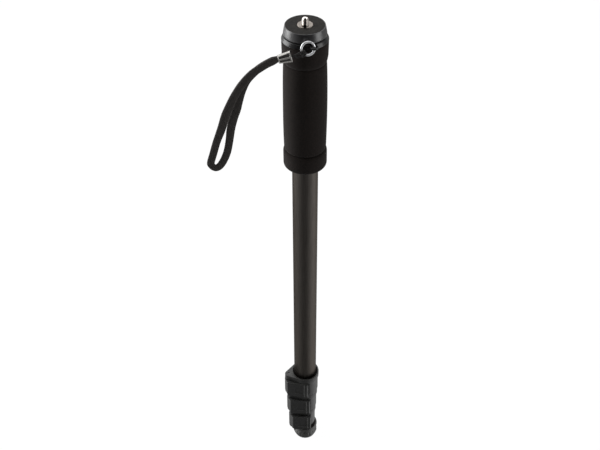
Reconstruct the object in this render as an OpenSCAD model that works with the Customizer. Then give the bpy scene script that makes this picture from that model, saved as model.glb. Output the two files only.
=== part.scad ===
// Camera monopod with four telescoping sections, three cam lever locks, a foam grip and a wrist strap.
// Millimetres. Ground centre under the foot is the origin, +Z runs up the leg, -Y is the front.

/* [Leg] */
// Outside diameter of the upper tube
upper_tube_d = 25; // [23:0.5:30]
// How much smaller each next tube is, on the diameter
tube_step = 3; // [2.8:0.1:3.6]
// Wall of every tube
tube_wall = 1; // [0.8:0.05:1.05]
// Upper tube left bare between the grip and the first lock
bare_tube = 300; // [220:5:380]
// Length of the guide bush skirt on each inner tube
skirt_l = 30; // [15:1:50]
// Length of the guide bush plug inside each inner tube
bush_plug_l = 12; // [8:1:16]
// Height of the guide bush rim above its tube
bush_rim_h = 4; // [2:0.5:6]

/* [Locks] */
// Height from one lock to the next
lock_pitch = 30.5; // [29:0.5:36]
// Height of the band at the top of each collar
band_h = 7; // [6:0.5:8]
// Wall of the collar round its outer tube
collar_wall = 2.3; // [1.8:0.1:2.6]
// How far the band stands out from the collar
band_out = 0.9; // [0.4:0.1:1.2]
// Height of the lower ear that holds the pin
ear_h = 2.2; // [1.6:0.1:3]
// Diameter of the ear round the pin
ear_d = 8.8; // [7:0.2:9.6]
// Wall left round the tube behind the lever
pocket_wall = 0.9; // [0.6:0.05:1]
// Depth of the tube's seat in the collar
seat_depth = 14; // [12:0.5:15]
// Direction of the lever pivot from the tube's axis, in degrees
pivot_deg = 195; // [192:1:198]
// Direction that the closed lever's front faces, in degrees
lever_deg = 262; // [260:1:264]
// Distance from the tube's surface to the lever pivot
pivot_out = 7; // [6.8:0.1:7.7]
// Diameter of the lever's cam hub
hub_d = 10.4; // [9.8:0.1:10.6]
// How far the cam stands out towards the shoe when closed
cam_lift = 0.5; // [0.3:0.05:0.6]
// Thickness of the lever's arm
lever_t = 2.2; // [1.6:0.1:2.3]
// Thickness of the lever's skirt in front of the lower ear
skirt_t = 1.4; // [1:0.1:1.6]
// How far the lever's tip reaches past the tube's axis
lever_tip = 5.8; // [4:0.2:8]
// Width of the sunk panel on the lever
panel_w = 9.5; // [5:0.5:11]
// Height of the sunk panel on the lever
panel_h = 12; // [6:0.5:14]
// Depth of the sunk panel on the lever
panel_depth = 0.5; // [0.2:0.1:0.8]
// Radius of the two grip ridges on the lever's tip
ridge_r = 0.8; // [0.4:0.1:0.9]
// Distance between the two grip ridges
ridge_pitch = 3; // [2:0.2:3.6]
// Diameter of the pivot pin
pin_d = 3; // [2:0.1:4]
// Width of the brake shoe
shoe_w = 8; // [5:0.5:9]
// Height of the brake shoe
shoe_h = 11; // [7:0.5:11.5]
// Diameter of the collar screw's shank
screw_d = 2.4; // [1.6:0.1:2.8]
// Diameter of the collar screw's head
screw_head_d = 4.4; // [3.4:0.1:5]
// Angle that the second section stands turned, in degrees
section_2_turn = 8; // [0:1:30]
// Angle that the third section stands turned past the second, in degrees
section_3_turn = 5; // [0:1:30]

/* [Foot] */
// Height of the rubber foot
foot_h = 22; // [20:0.5:28]
// Diameter of the rubber foot
foot_d = 28.5; // [26:0.5:34]
// Diameter of the sole where it meets the ground
sole_d = 23; // [18:0.5:24]
// Rubber under the foot plug
sole_h = 3; // [2:0.5:4]
// Length of the foot plug inside the fourth tube
foot_plug_l = 20; // [12:1:30]

/* [Grip] */
// Length of the foam grip
grip_l = 133.5; // [110:0.5:180]
// Diameter of the grip's barrel
grip_d = 40; // [36:0.5:44]
// Diameter of the waist under the grip's top collar
grip_waist_d = 38; // [34:0.5:39]
// Height of the grip's top collar
grip_collar_h = 20.5; // [14:0.5:28]
// Diameter of the bell at the grip's lower end
grip_bell_d = 41.2; // [38:0.2:46]
// Height of the bell
grip_bell_h = 19; // [12:0.5:28]
// Rounding of the bell's lower edge
grip_round = 3; // [1:0.2:4]

/* [Head] */
// Diameter of the head cap and of the grip's top
cap_d = 41.6; // [40:0.2:46]
// Height of the head cap's shoulder
cap_h = 4; // [3.5:0.1:6]
// Length of the cap's plug inside the upper tube
cap_plug_l = 30; // [20:1:45]
// Diameter of the mounting plate at its foot
plate_d = 38.2; // [37:0.2:39]
// Diameter of the mounting plate at its top
plate_top_d = 36.2; // [34:0.2:37]
// Height of the mounting plate
plate_h = 9.2; // [8:0.1:12]
// Height of the straight rim at the plate's top
plate_rim_h = 3; // [2.4:0.1:3.8]
// Height of the straight band at the plate's foot
plate_foot_h = 2.4; // [1.8:0.1:3]
// Depth of the pad's recess
pad_h = 1.2; // [0.8:0.1:2]
// Metal rim left round the pad
pad_rim = 0.7; // [0.4:0.1:2]
// Diameter of the camera screw
screw_thread_d = 6.35; // [6:0.05:7]
// Height of the camera screw above its flange
screw_thread_h = 5.8; // [4.5:0.1:8]
// Diameter of the camera screw's flange
flange_d = 14; // [12:0.2:16]
// Thickness of the camera screw's flange
flange_h = 1.6; // [1.2:0.1:2]
// How far the flange stands above the pad
flange_proud = 0.4; // [0.1:0.1:0.8]
// Width of the slot across the screw's tip
slot_w = 1.2; // [0.8:0.1:1.6]
// Depth of the slot
slot_depth = 3.4; // [1:0.1:4]
// Diameter of the stud's lower thread
stud_d = 9.5; // [8:0.1:10]
// Width of the captive nut across its flats
nut_af = 14.3; // [13:0.1:15]
// Height of the captive nut
nut_h = 8; // [6:0.2:10]
// Diameter of the rivets that hold the cap's plug
rivet_d = 3.2; // [2.4:0.1:4]

/* [Strap] */
// Diameter of the split ring, through the middle of its wire
ring_d = 12.6; // [12:0.1:13]
// Diameter of the ring's wire
ring_wire_d = 1.9; // [1.4:0.1:2]
// How far the ring leans back, in degrees
ring_lean = 12; // [0:1:24]
// Direction of the strap lug from the leg's axis, in degrees
lug_deg = 290.5; // [289:0.5:292]
// Distance of the lug's hole from the leg's axis
lug_out = 22.6; // [22.5:0.1:23]
// Diameter of the lug
lug_d = 6.6; // [6:0.1:7]
// Height of the lug
lug_h = 1.8; // [1.4:0.1:1.9]
// Diameter of the lug's hole
lug_hole_d = 3.8; // [3.6:0.1:4.2]
// Thickness of the thin cord
cord_d = 1.6; // [1.2:0.1:1.7]
// Width of the strap
strap_w = 7; // [5:0.1:7.5]
// Thickness of the strap
strap_t = 2.3; // [1.4:0.1:2.4]
// Length of the ferrule
ferrule_l = 11.5; // [10:0.1:12]
// Width of the ferrule at the cord's end
ferrule_w = 9.8; // [8:0.1:11]
// Width of the ferrule at the strap's end
ferrule_end_w = 6.6; // [5:0.1:8]
// Thickness of the ferrule
ferrule_t = 5.6; // [5:0.1:6]
// Width of each groove pressed into the ferrule
groove_w = 1.5; // [0.8:0.1:1.8]
// Depth of each groove pressed into the ferrule
groove_depth = 0.5; // [0.2:0.1:0.8]

/* [Hidden] */
$fn = 96;
// Smallest distance kept between pieces that move past each other
run_gap = 0.3;
// Gap on the radius between pieces fixed in one another
seat_gap = 0.05;
// Gap on the radius of the pins and bushes that turn
turn_gap = 0.06;
// Gap on the radius between a guide bush and the tube it slides in
slide_gap = 0.12;
// Space left between each guide bush and the one above it
bush_gap = 3;
// Extra length of a cut past the face it leaves
cut = 1;
// Small bevel on moulded and turned edges
bevel = 0.4;
// How far one solid reaches into the next where they join
tuck = 0.15;
// Thickness of each screw head
screw_head_h = 1.2;
// Free space past the lever's tip
tip_room = 2;
// Part of the arm's thickness that is cut off each corner of its tip
tip_nick = 0.3;
// Distance from the lever's tip to its first grip ridge
ridge_in = 1.2;
// Distance from the grip ridges to the sunk panel
panel_in = 3;
// How far the lever's front reaches past the middle of its hub
front_past = 1.1;
// Directions from the middle of the hub in which the web meets it, in degrees
web_deg = [-36, 210];
// Distance of those places from the middle of the hub, as a share of its radius
web_share = 0.95;
// Place where the web leaves the arm, as a share of the hub's distance
web_start = 0.4;
// Angle before the pivot at which the lever's space starts, in degrees
space_lead = 28;
// Depth and width of the funnel at the collar's mouth
mouth = [1.4, 1.85];
// Height of the foot plug's flange and the width of its step
plug_step = [2, 1];
// Length of the foot plug's stem under its flange
plug_stem_h = 5;
// Bevel on the foot plug's upper end
plug_bevel = 1;
// Depth and height of the groove round the rubber foot
foot_groove = [3.2, 2.4];
// Height of the widest edge of the foot's lower tier
foot_edge_h = 5.6;
// Height at which the lower tier's slope meets the groove
foot_tier_h = 12;
// Wall of each guide bush round its hollow
bush_wall = 2;
// Step between the points of a rounded edge, in degrees
arc_step = 15;
// Height of the straight edge round the cap's foot
cap_edge_h = 1;
// How far the lug reaches into the cap
lug_root = 3;
// Height of the lug's lower face above the grip
lug_lift = 2.1;
// How far each rivet reaches into the cap's plug
rivet_in = 4;
// Heights below the bell's top between which its side turns in
bell_turn = [3.5, 1.5];
// Side of the grip's top collar, as heights above its foot and distances inside the cap's edge
collar_side = [[3, 0.9], [6, 0.3]];
// Height of the edges of the grip's top collar
collar_edge = 1;
// How far the barrel's lower end stands out from its upper end
barrel_taper = 0.5;
// Powers that shape the barrel's swell
barrel_swell = [0.8, 0.6];
// Share of the barrel's length between the points of its side
barrel_step = 0.08;

lock_h = lock_pitch - run_gap;
grip_z = lock_z(1) + bare_tube;
grip_top = grip_z + grip_l;
cap_top = grip_top + cap_h;
plate_top = cap_top + plate_h;
flange_top = plate_top + flange_proud;
hub_r = hub_d / 2;
lever_low = -lock_h + ear_h + run_gap;
lever_high = -band_h - run_gap;
shoe_mid = (lever_low - seat_depth) / 2;
screw_z = -band_h / 2;
rivet_z = grip_top - cap_plug_l / 2;
lug_at = lug_out * [cos(lug_deg), sin(lug_deg)];
lug_z = grip_top + lug_lift + lug_h / 2;
// Direction of the ring's middle from the lug's hole, in degrees
ring_deg = 194;
ring_mid = [lug_at.x + ring_d / 2 * cos(ring_deg), lug_at.y + ring_d / 2 * sin(ring_deg), lug_z];
cord_home = [ring_mid.x + ring_d / 2 * cos(ring_deg), ring_mid.y + ring_d / 2 * sin(ring_deg), lug_z];
// Slope of the ferrule, in degrees, and its right end from the place where the cord wraps the ring
ferrule_slope = 15;
ferrule_right = cord_home + [-7.32, -0.75, -6];

// Route of the thin cord round the ring's wire, from the place where the cord wraps it
cord_route = [
    [-11, -1.95, -6.9], [-7.5, -2, -5.8], [-4, -2.3, -2.9], [-0.5, -2, -0.5], [1.4, -1.4, 0.3], [2, 0, 0.5],
    [1.4, 1.4, 0.3], [-0.5, 2, -0.5], [-4, 1.6, -2.9], [-7.5, 0.6, -5.8], [-11, 0.45, -6.9]];

// Route of the strap from the ferrule, round the loop and back, from the middle of the ferrule's right end
strap_route = [
    [-8, -1.3, -2], [-11.5, -1.3, -3], [-19.5, -1.4, -7.5], [-26.5, -1.5, -12.5], [-33.5, -1.6, -18],
    [-41.3, -1.6, -27.5], [-47.6, -1.5, -38], [-53, -1.4, -49], [-58, -1.2, -59.5], [-62.5, -1, -73.5],
    [-67.5, -0.6, -88], [-71.6, -0.4, -101], [-74.3, -0.2, -110], [-74.4, 0, -115.5], [-71.5, 0, -118],
    [-67.5, 0.2, -116], [-63.5, 0.4, -110], [-59.5, 0.6, -100], [-57, 0.8, -88], [-55, 1, -74],
    [-52, 1.2, -62.5], [-49, 1.3, -54], [-47, 1.4, -46], [-43.5, 1.5, -35.5], [-39, 1.6, -25.5],
    [-32.5, 1.5, -17.5], [-26, 1.5, -12], [-19, 1.4, -7.5], [-11.5, 1.3, -3], [-8, 1.3, -2]];

// Sizes of tube n, counted from the top
function tube_r(n) = (upper_tube_d - (n - 1) * tube_step) / 2;
function bore_r(n) = tube_r(n) - tube_wall;
// Top of lock n, which is also where its outer tube leaves the collar
function lock_z(n) = foot_h + (4 - n) * lock_pitch;
function lock_turn(n) = n == 1 ? 0 : n == 2 ? section_2_turn : section_2_turn + section_3_turn;
// Upper end of the bush on tube n, each one hanging under the bush above
function bush_top(n) = n == 2 ? grip_top - cap_plug_l - bush_gap
    : bush_top(n - 1) - bush_rim_h - bush_plug_l - bush_gap;
function tube_top(n) = n == 1 ? grip_top : bush_top(n) - bush_rim_h - run_gap;
function tube_foot(n) = n == 4 ? sole_h + plug_stem_h + plug_step[0] : lock_z(n) - seat_depth;
// Radii and places in lock n, from the axis of its tubes
function collar_r(n) = tube_r(n) + collar_wall;
function band_r(n) = collar_r(n) + band_out;
function pivot_r(n) = tube_r(n) + pivot_out;
function around(radius, angle) = radius * [cos(angle), sin(angle)];
// Front of the lever in lock n, the same distance from the pivot in each lock
function lever_out(n) = collar_r(1) - bevel + run_gap + skirt_t
    - (pivot_r(1) - pivot_r(n)) * cos(lever_deg - pivot_deg);
// Middle of the lever's hub, on axes turned with the lever
function lever_hub(n) = around(pivot_r(n) - cam_lift, pivot_deg - lever_deg - 90);
function shoe_out(n) = pivot_r(n) - hub_r - cam_lift - 2 * seat_gap;

// Smooth curve through route points, and the rings of a tube swept along it
function unit(v) = v / norm(v);
function knot(p, i) = p[max(0, min(len(p) - 1, i))];
function blend(a, b, c, d, t) = 0.5 * (2 * b + (c - a) * t + (2 * a - 5 * b + 4 * c - d) * t * t
    + (3 * b - a - 3 * c + d) * t * t * t);
function curve(p, steps) = [for (i = [0 : len(p) - 2], s = [0 : steps - 1])
    blend(knot(p, i - 1), p[i], p[i + 1], knot(p, i + 2), s / steps), p[len(p) - 1]];
function heading(c, i) = unit(knot(c, i + 1) - knot(c, i - 1));
function ring_at(centre, along, side, width, depth, sides) =
    let (w = unit(cross(side, along)), d = cross(along, w))
    [for (j = [0 : sides - 1]) centre + width / 2 * cos(360 * (j + 0.5) / sides) * w
        + depth / 2 * sin(360 * (j + 0.5) / sides) * d];
function sweep_points(c, side, width, depth, sides) = [for (i = [0 : len(c) - 1])
    each ring_at(c[i], heading(c, i), side, width, depth, sides)];
function sweep_faces(rings, sides) = concat(
    [[for (j = [0 : sides - 1]) j]],
    [for (i = [0 : rings - 2], j = [0 : sides - 1]) let (a = i * sides + j, b = i * sides + (j + 1) % sides)
        each [[a, a + sides, b], [b, a + sides, b + sides]]],
    [[for (j = [sides - 1 : -1 : 0]) (rings - 1) * sides + j]]);

module swept_cord(route, home, steps, side, width, depth, sides) {
    c = curve([for (p = route) home + p], steps);
    polyhedron(sweep_points(c, side, width, depth, sides), sweep_faces(len(c), sides));
}

module ring_block(outer, inner, low, high) {
    translate([0, 0, low]) difference() {
        cylinder(r = outer, h = high - low);
        translate([0, 0, -cut]) cylinder(r = inner, h = high - low + 2 * cut);
    }
}

// Head
module camera_screw() {
    color("silver") difference() {
        union() {
            translate([0, 0, flange_top - cut]) cylinder(d = screw_thread_d, h = screw_thread_h + cut);
            translate([0, 0, flange_top - flange_h]) cylinder(d = flange_d, h = flange_h);
            translate([0, 0, cap_top - nut_h]) cylinder(d = stud_d, h = plate_h + nut_h - flange_h / 2);
        }
        translate([-slot_w / 2, -screw_thread_d, flange_top + screw_thread_h - slot_depth])
            cube([slot_w, 2 * screw_thread_d, slot_depth + cut]);
    }
}

module top_pad() {
    color("dimgray")
        ring_block(plate_top_d / 2 - pad_rim, flange_d / 2 + run_gap, plate_top - pad_h, plate_top);
}

module mounting_plate() {
    base = plate_d / 2;
    top = plate_top_d / 2;
    hole = stud_d / 2 + turn_gap;
    seat = flange_d / 2 + seat_gap;
    floor_z = flange_top - flange_h - cap_top;
    recess = top - pad_rim + seat_gap;
    profile = [
        [hole, 0], [base - 2 * bevel, 0], [base, 2 * bevel], [base, plate_foot_h],
        [top, plate_h - plate_rim_h], [top, plate_h - bevel], [top - bevel, plate_h], [recess, plate_h],
        [recess, plate_h - pad_h], [seat, plate_h - pad_h], [seat, floor_z], [hole, floor_z]];
    color("black") translate([0, 0, cap_top]) rotate_extrude() polygon(profile);
}

module lug_outline() {
    root = cap_d / 2 - lug_root;
    neck = lug_d - 2 * tuck;
    rotate(lug_deg) translate([root, -neck / 2]) square([lug_out - root, neck]);
    translate(lug_at) circle(d = lug_d);
}

module head_cap() {
    top = plate_d / 2 + run_gap;
    low = cap_d / 2;
    plug = bore_r(1) - seat_gap;
    rise = cap_h - cap_edge_h;
    shoulder = [for (t = [90 : -arc_step : 0])
        [top + (low - top) * sin(t), rise * cos(t) + cap_edge_h - bevel]];
    profile = concat(
        [[0, -cap_plug_l], [plug - 2 * bevel, -cap_plug_l], [plug, 2 * bevel - cap_plug_l], [plug, 0]],
        [[low, 0]], shoulder, [[top - bevel, cap_h], [0, cap_h]]);
    color("black") difference() {
        union() {
            translate([0, 0, grip_top]) rotate_extrude() polygon(profile);
            translate([0, 0, lug_z - lug_h / 2]) linear_extrude(lug_h) lug_outline();
        }
        translate([0, 0, cap_top - nut_h - seat_gap])
            cylinder(d = nut_af / cos(30) + 2 * seat_gap, h = nut_h + cut, $fn = 6);
        translate([0, 0, cap_top - nut_h - 2 * cut]) cylinder(d = stud_d + bevel, h = nut_h);
        translate([lug_at.x, lug_at.y, lug_z - lug_h]) cylinder(d = lug_hole_d, h = 2 * lug_h);
        rivet_shape(tube_r(1), seat_gap);
    }
}

module head_nut() {
    color("silver") translate([0, 0, cap_top - nut_h]) difference() {
        cylinder(d = nut_af / cos(30), h = nut_h - 2 * seat_gap, $fn = 6);
        translate([0, 0, -cut]) cylinder(d = stud_d + 2 * turn_gap, h = nut_h + 2 * cut);
    }
}

module rivet_shape(far, gap) {
    near = bore_r(1) - rivet_in;
    for (side = [0, 180]) rotate(side) translate([near - gap, 0, rivet_z])
        rotate([0, 90, 0]) cylinder(d = rivet_d + 2 * gap, h = far - near + 2 * gap);
}

module head_rivets() {
    color("silver") rivet_shape(tube_r(1) - 2 * seat_gap, 0);
}

// Grip
module foam_grip() {
    waist = grip_waist_d / 2;
    barrel = grip_d / 2;
    bell = grip_bell_d / 2;
    collar = cap_d / 2;
    bore = tube_r(1) + seat_gap;
    low = grip_l - grip_collar_h;
    run = low - grip_bell_h;
    bell_round = [for (t = [0 : arc_step : 90])
        [bell - grip_round * (1 - sin(t)), grip_round * (1 - cos(t))]];
    barrel_curve = [for (t = [barrel_step : barrel_step : 1])
        [waist + (barrel - waist) * pow(sin(180 * pow(1 - t, barrel_swell[0])), barrel_swell[1])
        + barrel_taper * (1 - t), grip_bell_h + run * t]];
    collar_curve = [for (p = collar_side) [collar - p[1], low + p[0]]];
    profile = concat(
        [[bore, 0]], bell_round,
        [[bell, grip_bell_h - bell_turn[0]], [bell - bevel, grip_bell_h - bell_turn[1]]],
        [[waist, grip_bell_h]], barrel_curve, [[waist, low - collar_edge]], collar_curve,
        [[collar - 2 * seat_gap, grip_l - collar_edge], [collar - bevel, grip_l], [bore, grip_l]]);
    color("dimgray") translate([0, 0, grip_z]) rotate_extrude() polygon(profile);
}

// Strap
module split_ring() {
    color("silver") translate(ring_mid) rotate([0, 0, ring_deg]) rotate([90 + ring_lean, 0, 0])
        rotate_extrude() translate([ring_d / 2, 0]) circle(d = ring_wire_d, $fn = 48);
}

module strap_cord() {
    color("black") swept_cord(cord_route, cord_home, 3, [0, 0, 1], cord_d, cord_d, 8);
}

module strap_ferrule() {
    wide = ferrule_w / 2;
    slim = ferrule_end_w / 2;
    end_land = 1.2;
    color("silver") translate(ferrule_right) rotate([0, -ferrule_slope, 0]) rotate([90, 0, 0]) difference() {
        translate([0, 0, -ferrule_t / 2]) linear_extrude(ferrule_t)
            polygon([[0, -wide], [0, wide], [-ferrule_l, slim], [-ferrule_l, -slim]]);
        for (side = [-1, 1])
            translate([end_land - ferrule_l, (side * slim - groove_w) / 2, ferrule_t / 2 - groove_depth])
                cube([ferrule_l - 2 * end_land, groove_w, groove_depth + cut]);
    }
}

module strap_loop() {
    color("black") swept_cord(strap_route, ferrule_right, 2, [0, 1, 0], strap_w, strap_t, 8);
}

// Tubes and bushes
module screw_hole(n, gap) {
    translate([0, tube_r(n) - 2 * tube_wall, screw_z]) rotate([-90, 0, 0])
        cylinder(d = screw_d + 2 * gap, h = collar_wall + band_out + 3 * tube_wall);
}

module tube(n) {
    color("dimgray") difference() {
        ring_block(tube_r(n), bore_r(n), tube_foot(n), tube_top(n));
        if (n < 4) translate([0, 0, lock_z(n)]) rotate(lock_turn(n)) screw_hole(n, seat_gap);
        if (n == 1) rivet_shape(tube_r(1) + cut, seat_gap);
    }
}

module upper_tube() {
    tube(1);
}

module second_tube() {
    tube(2);
}

module third_tube() {
    tube(3);
}

module fourth_tube() {
    tube(4);
}

module guide_bush(n) {
    rim = bush_top(n) - bush_rim_h;
    hollow = bore_r(n) - bush_wall;
    plug = bore_r(n) - turn_gap;
    sleeve = tube_r(n) + turn_gap;
    outer = bore_r(n - 1) - slide_gap;
    color("whitesmoke") rotate_extrude() polygon([
        [hollow, rim - bush_plug_l], [plug, rim - bush_plug_l], [plug, rim], [sleeve, rim],
        [sleeve, rim - skirt_l], [outer, rim - skirt_l], [outer, bush_top(n) - bevel],
        [outer - bevel, bush_top(n)], [hollow, bush_top(n)]]);
}

module guide_bush_2() {
    guide_bush(2);
}

module guide_bush_3() {
    guide_bush(3);
}

module guide_bush_4() {
    guide_bush(4);
}

// Locks
module at_lock(n) {
    translate([0, 0, lock_z(n)]) rotate(lock_turn(n)) children();
}

module slab(low, high) {
    translate([0, 0, low]) linear_extrude(high - low) children();
}

// Ear that joins a ring of the given radius to the pin
module ear_outline(n, radius) {
    swing = acos((radius - ear_d / 2) / pivot_r(n));
    pivot = around(pivot_r(n), pivot_deg);
    near = radius - tuck;
    far = ear_d / 2 - tuck;
    polygon([
        around(near, pivot_deg + swing), pivot + around(far, pivot_deg + swing),
        pivot + around(far, pivot_deg - swing), around(near, pivot_deg - swing)]);
    translate(pivot) circle(d = ear_d);
    circle(r = radius);
}

// Space that the lever turns in, outside the wall round the tube
module lever_space(n) {
    wide = 3 * pivot_r(n);
    from = pivot_deg - space_lead;
    to = lever_deg + atan2(lever_tip + tip_room, lever_out(n) - lever_t / 2);
    difference() {
        polygon(concat([[0, 0]], [for (t = [0 : 0.2 : 1]) around(wide, from + (to - from) * t)]));
        circle(r = tube_r(n) + pocket_wall);
    }
}

module lock_collar(n) {
    pivot = around(pivot_r(n), pivot_deg);
    window = [pivot_r(n), shoe_w + run_gap, shoe_h + run_gap];
    color("black") at_lock(n) difference() {
        union() {
            slab(-band_h, 0) ear_outline(n, band_r(n));
            slab(-lock_h + ear_h, -band_h / 2) circle(r = collar_r(n));
            slab(-lock_h, -band_h / 2) circle(r = collar_r(n) - bevel);
            slab(-lock_h, -lock_h + ear_h) ear_outline(n, collar_r(n) - bevel);
        }
        slab(-seat_depth, cut) circle(r = tube_r(n) + seat_gap);
        slab(-lock_h - cut, cut) circle(r = tube_r(n + 1) + slide_gap);
        translate([0, 0, -mouth[0]])
            cylinder(r1 = tube_r(n) + seat_gap, r2 = tube_r(n) + mouth[1], h = mouth[0] + tuck);
        slab(-lock_h + ear_h, -band_h) lever_space(n);
        rotate(pivot_deg) translate([bore_r(n + 1), -window.y / 2, shoe_mid - window.z / 2]) cube(window);
        translate([pivot.x, pivot.y, -lock_h - cut])
            cylinder(d = pin_d + 2 * seat_gap, h = lock_h + 2 * cut);
        screw_hole(n, seat_gap);
        translate([0, band_r(n) - screw_head_h - 2 * seat_gap, screw_z]) rotate([-90, 0, 0])
            cylinder(d = screw_head_d + 4 * seat_gap, h = 2 * cut);
    }
}

// Front plate of the lever, seen from above
module lever_front(n, thick) {
    nick = thick * tip_nick;
    back = thick - lever_out(n);
    left = lever_hub(n).x - front_past;
    polygon([
        [left, -lever_out(n)], [lever_tip - nick, -lever_out(n)], [lever_tip, nick - lever_out(n)],
        [lever_tip, back - nick], [lever_tip - nick, back], [left, back]]);
}

// Web that joins the front plate to the hub
module lever_web(n) {
    hub = lever_hub(n);
    polygon([
        [hub.x - front_past, -lever_out(n)], [web_start * hub.x, -lever_out(n)],
        [web_start * hub.x, lever_t - lever_out(n)], hub + around(web_share * hub_r, web_deg[0]),
        hub + around(web_share * hub_r, web_deg[1])]);
}

module lock_lever(n) {
    pivot = around(pivot_r(n), pivot_deg);
    tall = lever_high + lock_h;
    panel_left = lever_tip - ridge_pitch - panel_in - panel_w;
    color("black") at_lock(n) difference() {
        rotate(lever_deg + 90) {
            slab(lever_low, lever_high) {
                translate(lever_hub(n)) circle(r = hub_r);
                lever_front(n, lever_t);
                lever_web(n);
            }
            slab(-lock_h, lever_high) {
                lever_front(n, skirt_t);
                for (i = [0, 1]) translate([lever_tip - ridge_in - i * ridge_pitch, tuck - lever_out(n)])
                    circle(r = ridge_r, $fn = 32);
            }
        }
        translate([pivot.x, pivot.y, -lock_h]) cylinder(d = pin_d + 2 * turn_gap, h = tall + cut);
        rotate(lever_deg + 90)
            translate([panel_left, -lever_out(n) - cut, (lever_high - lock_h - panel_h) / 2])
                cube([panel_w, panel_depth + cut, panel_h]);
    }
}

module lock_pin(n) {
    pivot = around(pivot_r(n), pivot_deg);
    color("silver") at_lock(n) translate([pivot.x, pivot.y, bevel - lock_h])
        cylinder(d = pin_d, h = lock_h - 2.5 * bevel);
}

module brake_shoe(n) {
    back = bore_r(n + 1) / 2;
    low = shoe_mid - shoe_h / 2;
    color("white") at_lock(n) rotate(pivot_deg) slab(low, low + shoe_h) difference() {
        translate([back, -shoe_w / 2]) square([shoe_out(n) - back, shoe_w]);
        circle(r = tube_r(n + 1) + turn_gap);
    }
}

module collar_screw(n) {
    near = bore_r(n) + tuck;
    seat = band_r(n) - screw_head_h - 2 * seat_gap;
    color("silver") at_lock(n) union() {
        translate([0, near, screw_z]) rotate([-90, 0, 0]) cylinder(d = screw_d, h = seat - near + tuck);
        translate([0, seat, screw_z]) rotate([-90, 0, 0]) cylinder(d = screw_head_d, h = screw_head_h);
    }
}

module lock_collar_1() {
    lock_collar(1);
}

module lock_lever_1() {
    lock_lever(1);
}

module lock_pin_1() {
    lock_pin(1);
}

module brake_shoe_1() {
    brake_shoe(1);
}

module collar_screw_1() {
    collar_screw(1);
}

module lock_collar_2() {
    lock_collar(2);
}

module lock_lever_2() {
    lock_lever(2);
}

module lock_pin_2() {
    lock_pin(2);
}

module brake_shoe_2() {
    brake_shoe(2);
}

module collar_screw_2() {
    collar_screw(2);
}

module lock_collar_3() {
    lock_collar(3);
}

module lock_lever_3() {
    lock_lever(3);
}

module lock_pin_3() {
    lock_pin(3);
}

module brake_shoe_3() {
    brake_shoe(3);
}

module collar_screw_3() {
    collar_screw(3);
}

// Foot
module foot_plug() {
    seat = tube_foot(4);
    plug = bore_r(4) - seat_gap;
    stem = tube_r(4) - 2 * tube_wall - plug_step[1] / 2;
    rim = tube_r(4) + plug_step[1];
    color("dimgray") rotate_extrude() polygon([
        [0, sole_h], [stem, sole_h], [stem, seat - plug_step[0]], [rim, seat - plug_step[0]], [rim, seat],
        [plug, seat], [plug, seat + foot_plug_l - plug_bevel], [plug - plug_bevel, seat + foot_plug_l],
        [0, seat + foot_plug_l]]);
}

module rubber_foot() {
    seat = tube_foot(4) + seat_gap;
    under = tube_foot(4) - plug_step[0] - seat_gap;
    wide = foot_d / 2;
    sole = sole_d / 2;
    waist = wide - foot_groove[0];
    groove_top = foot_tier_h + foot_groove[1];
    stem = tube_r(4) - 2 * tube_wall - plug_step[1] / 2 + seat_gap;
    rim = tube_r(4) + plug_step[1] + seat_gap;
    bore = tube_r(4) + seat_gap;
    color("black") rotate_extrude() polygon([
        [0, 0], [sole, 0], [sole + 2 * bevel, 2 * bevel], [wide - bevel, foot_edge_h - 2 * bevel],
        [wide, foot_edge_h], [wide - bevel, foot_edge_h + 2 * bevel], [waist, foot_tier_h],
        [waist, groove_top - bevel], [wide - bevel, groove_top], [wide, groove_top + bevel],
        [wide, foot_h - 4 * bevel], [wide - 4 * bevel, foot_h],
        [bore, foot_h], [bore, seat], [rim, seat], [rim, under], [stem, under], [stem, sole_h - seat_gap],
        [0, sole_h - seat_gap]]);
}

camera_screw();
top_pad();
mounting_plate();
head_cap();
head_nut();
head_rivets();
foam_grip();
split_ring();
strap_cord();
strap_ferrule();
strap_loop();
upper_tube();
second_tube();
third_tube();
fourth_tube();
guide_bush_2();
guide_bush_3();
guide_bush_4();
lock_collar_1();
lock_lever_1();
lock_pin_1();
brake_shoe_1();
collar_screw_1();
lock_collar_2();
lock_lever_2();
lock_pin_2();
brake_shoe_2();
collar_screw_2();
lock_collar_3();
lock_lever_3();
lock_pin_3();
brake_shoe_3();
collar_screw_3();
foot_plug();
rubber_foot();
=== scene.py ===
"""Looks of a camera monopod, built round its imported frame.

The frame is in metres, with the ground centre under the foot at the origin, +Z up the leg and -Y towards the
viewer. Sizes in this file are millimetres and become metres when a mesh is made.
"""

import logging
import math
from dataclasses import dataclass
from enum import Enum
from typing import Any, Callable, Sequence

import bmesh
import bpy
import numpy as np
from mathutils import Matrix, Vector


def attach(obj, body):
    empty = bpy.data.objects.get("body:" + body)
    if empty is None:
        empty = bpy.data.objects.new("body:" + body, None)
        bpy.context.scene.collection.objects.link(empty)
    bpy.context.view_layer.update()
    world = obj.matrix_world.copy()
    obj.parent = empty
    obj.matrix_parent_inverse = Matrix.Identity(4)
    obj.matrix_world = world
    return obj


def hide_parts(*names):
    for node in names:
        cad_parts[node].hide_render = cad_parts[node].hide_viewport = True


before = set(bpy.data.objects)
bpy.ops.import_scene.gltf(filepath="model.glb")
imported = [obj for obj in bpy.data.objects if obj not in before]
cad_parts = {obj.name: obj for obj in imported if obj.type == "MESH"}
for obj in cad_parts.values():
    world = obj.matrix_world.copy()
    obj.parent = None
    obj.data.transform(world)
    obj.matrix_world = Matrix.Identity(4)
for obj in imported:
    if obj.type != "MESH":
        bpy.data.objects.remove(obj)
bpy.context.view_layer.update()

LOG = logging.getLogger("monopod")
MM = 0.001
FULL_TURN = 2 * np.pi
Array = np.ndarray
Node = bpy.types.Node
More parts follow.
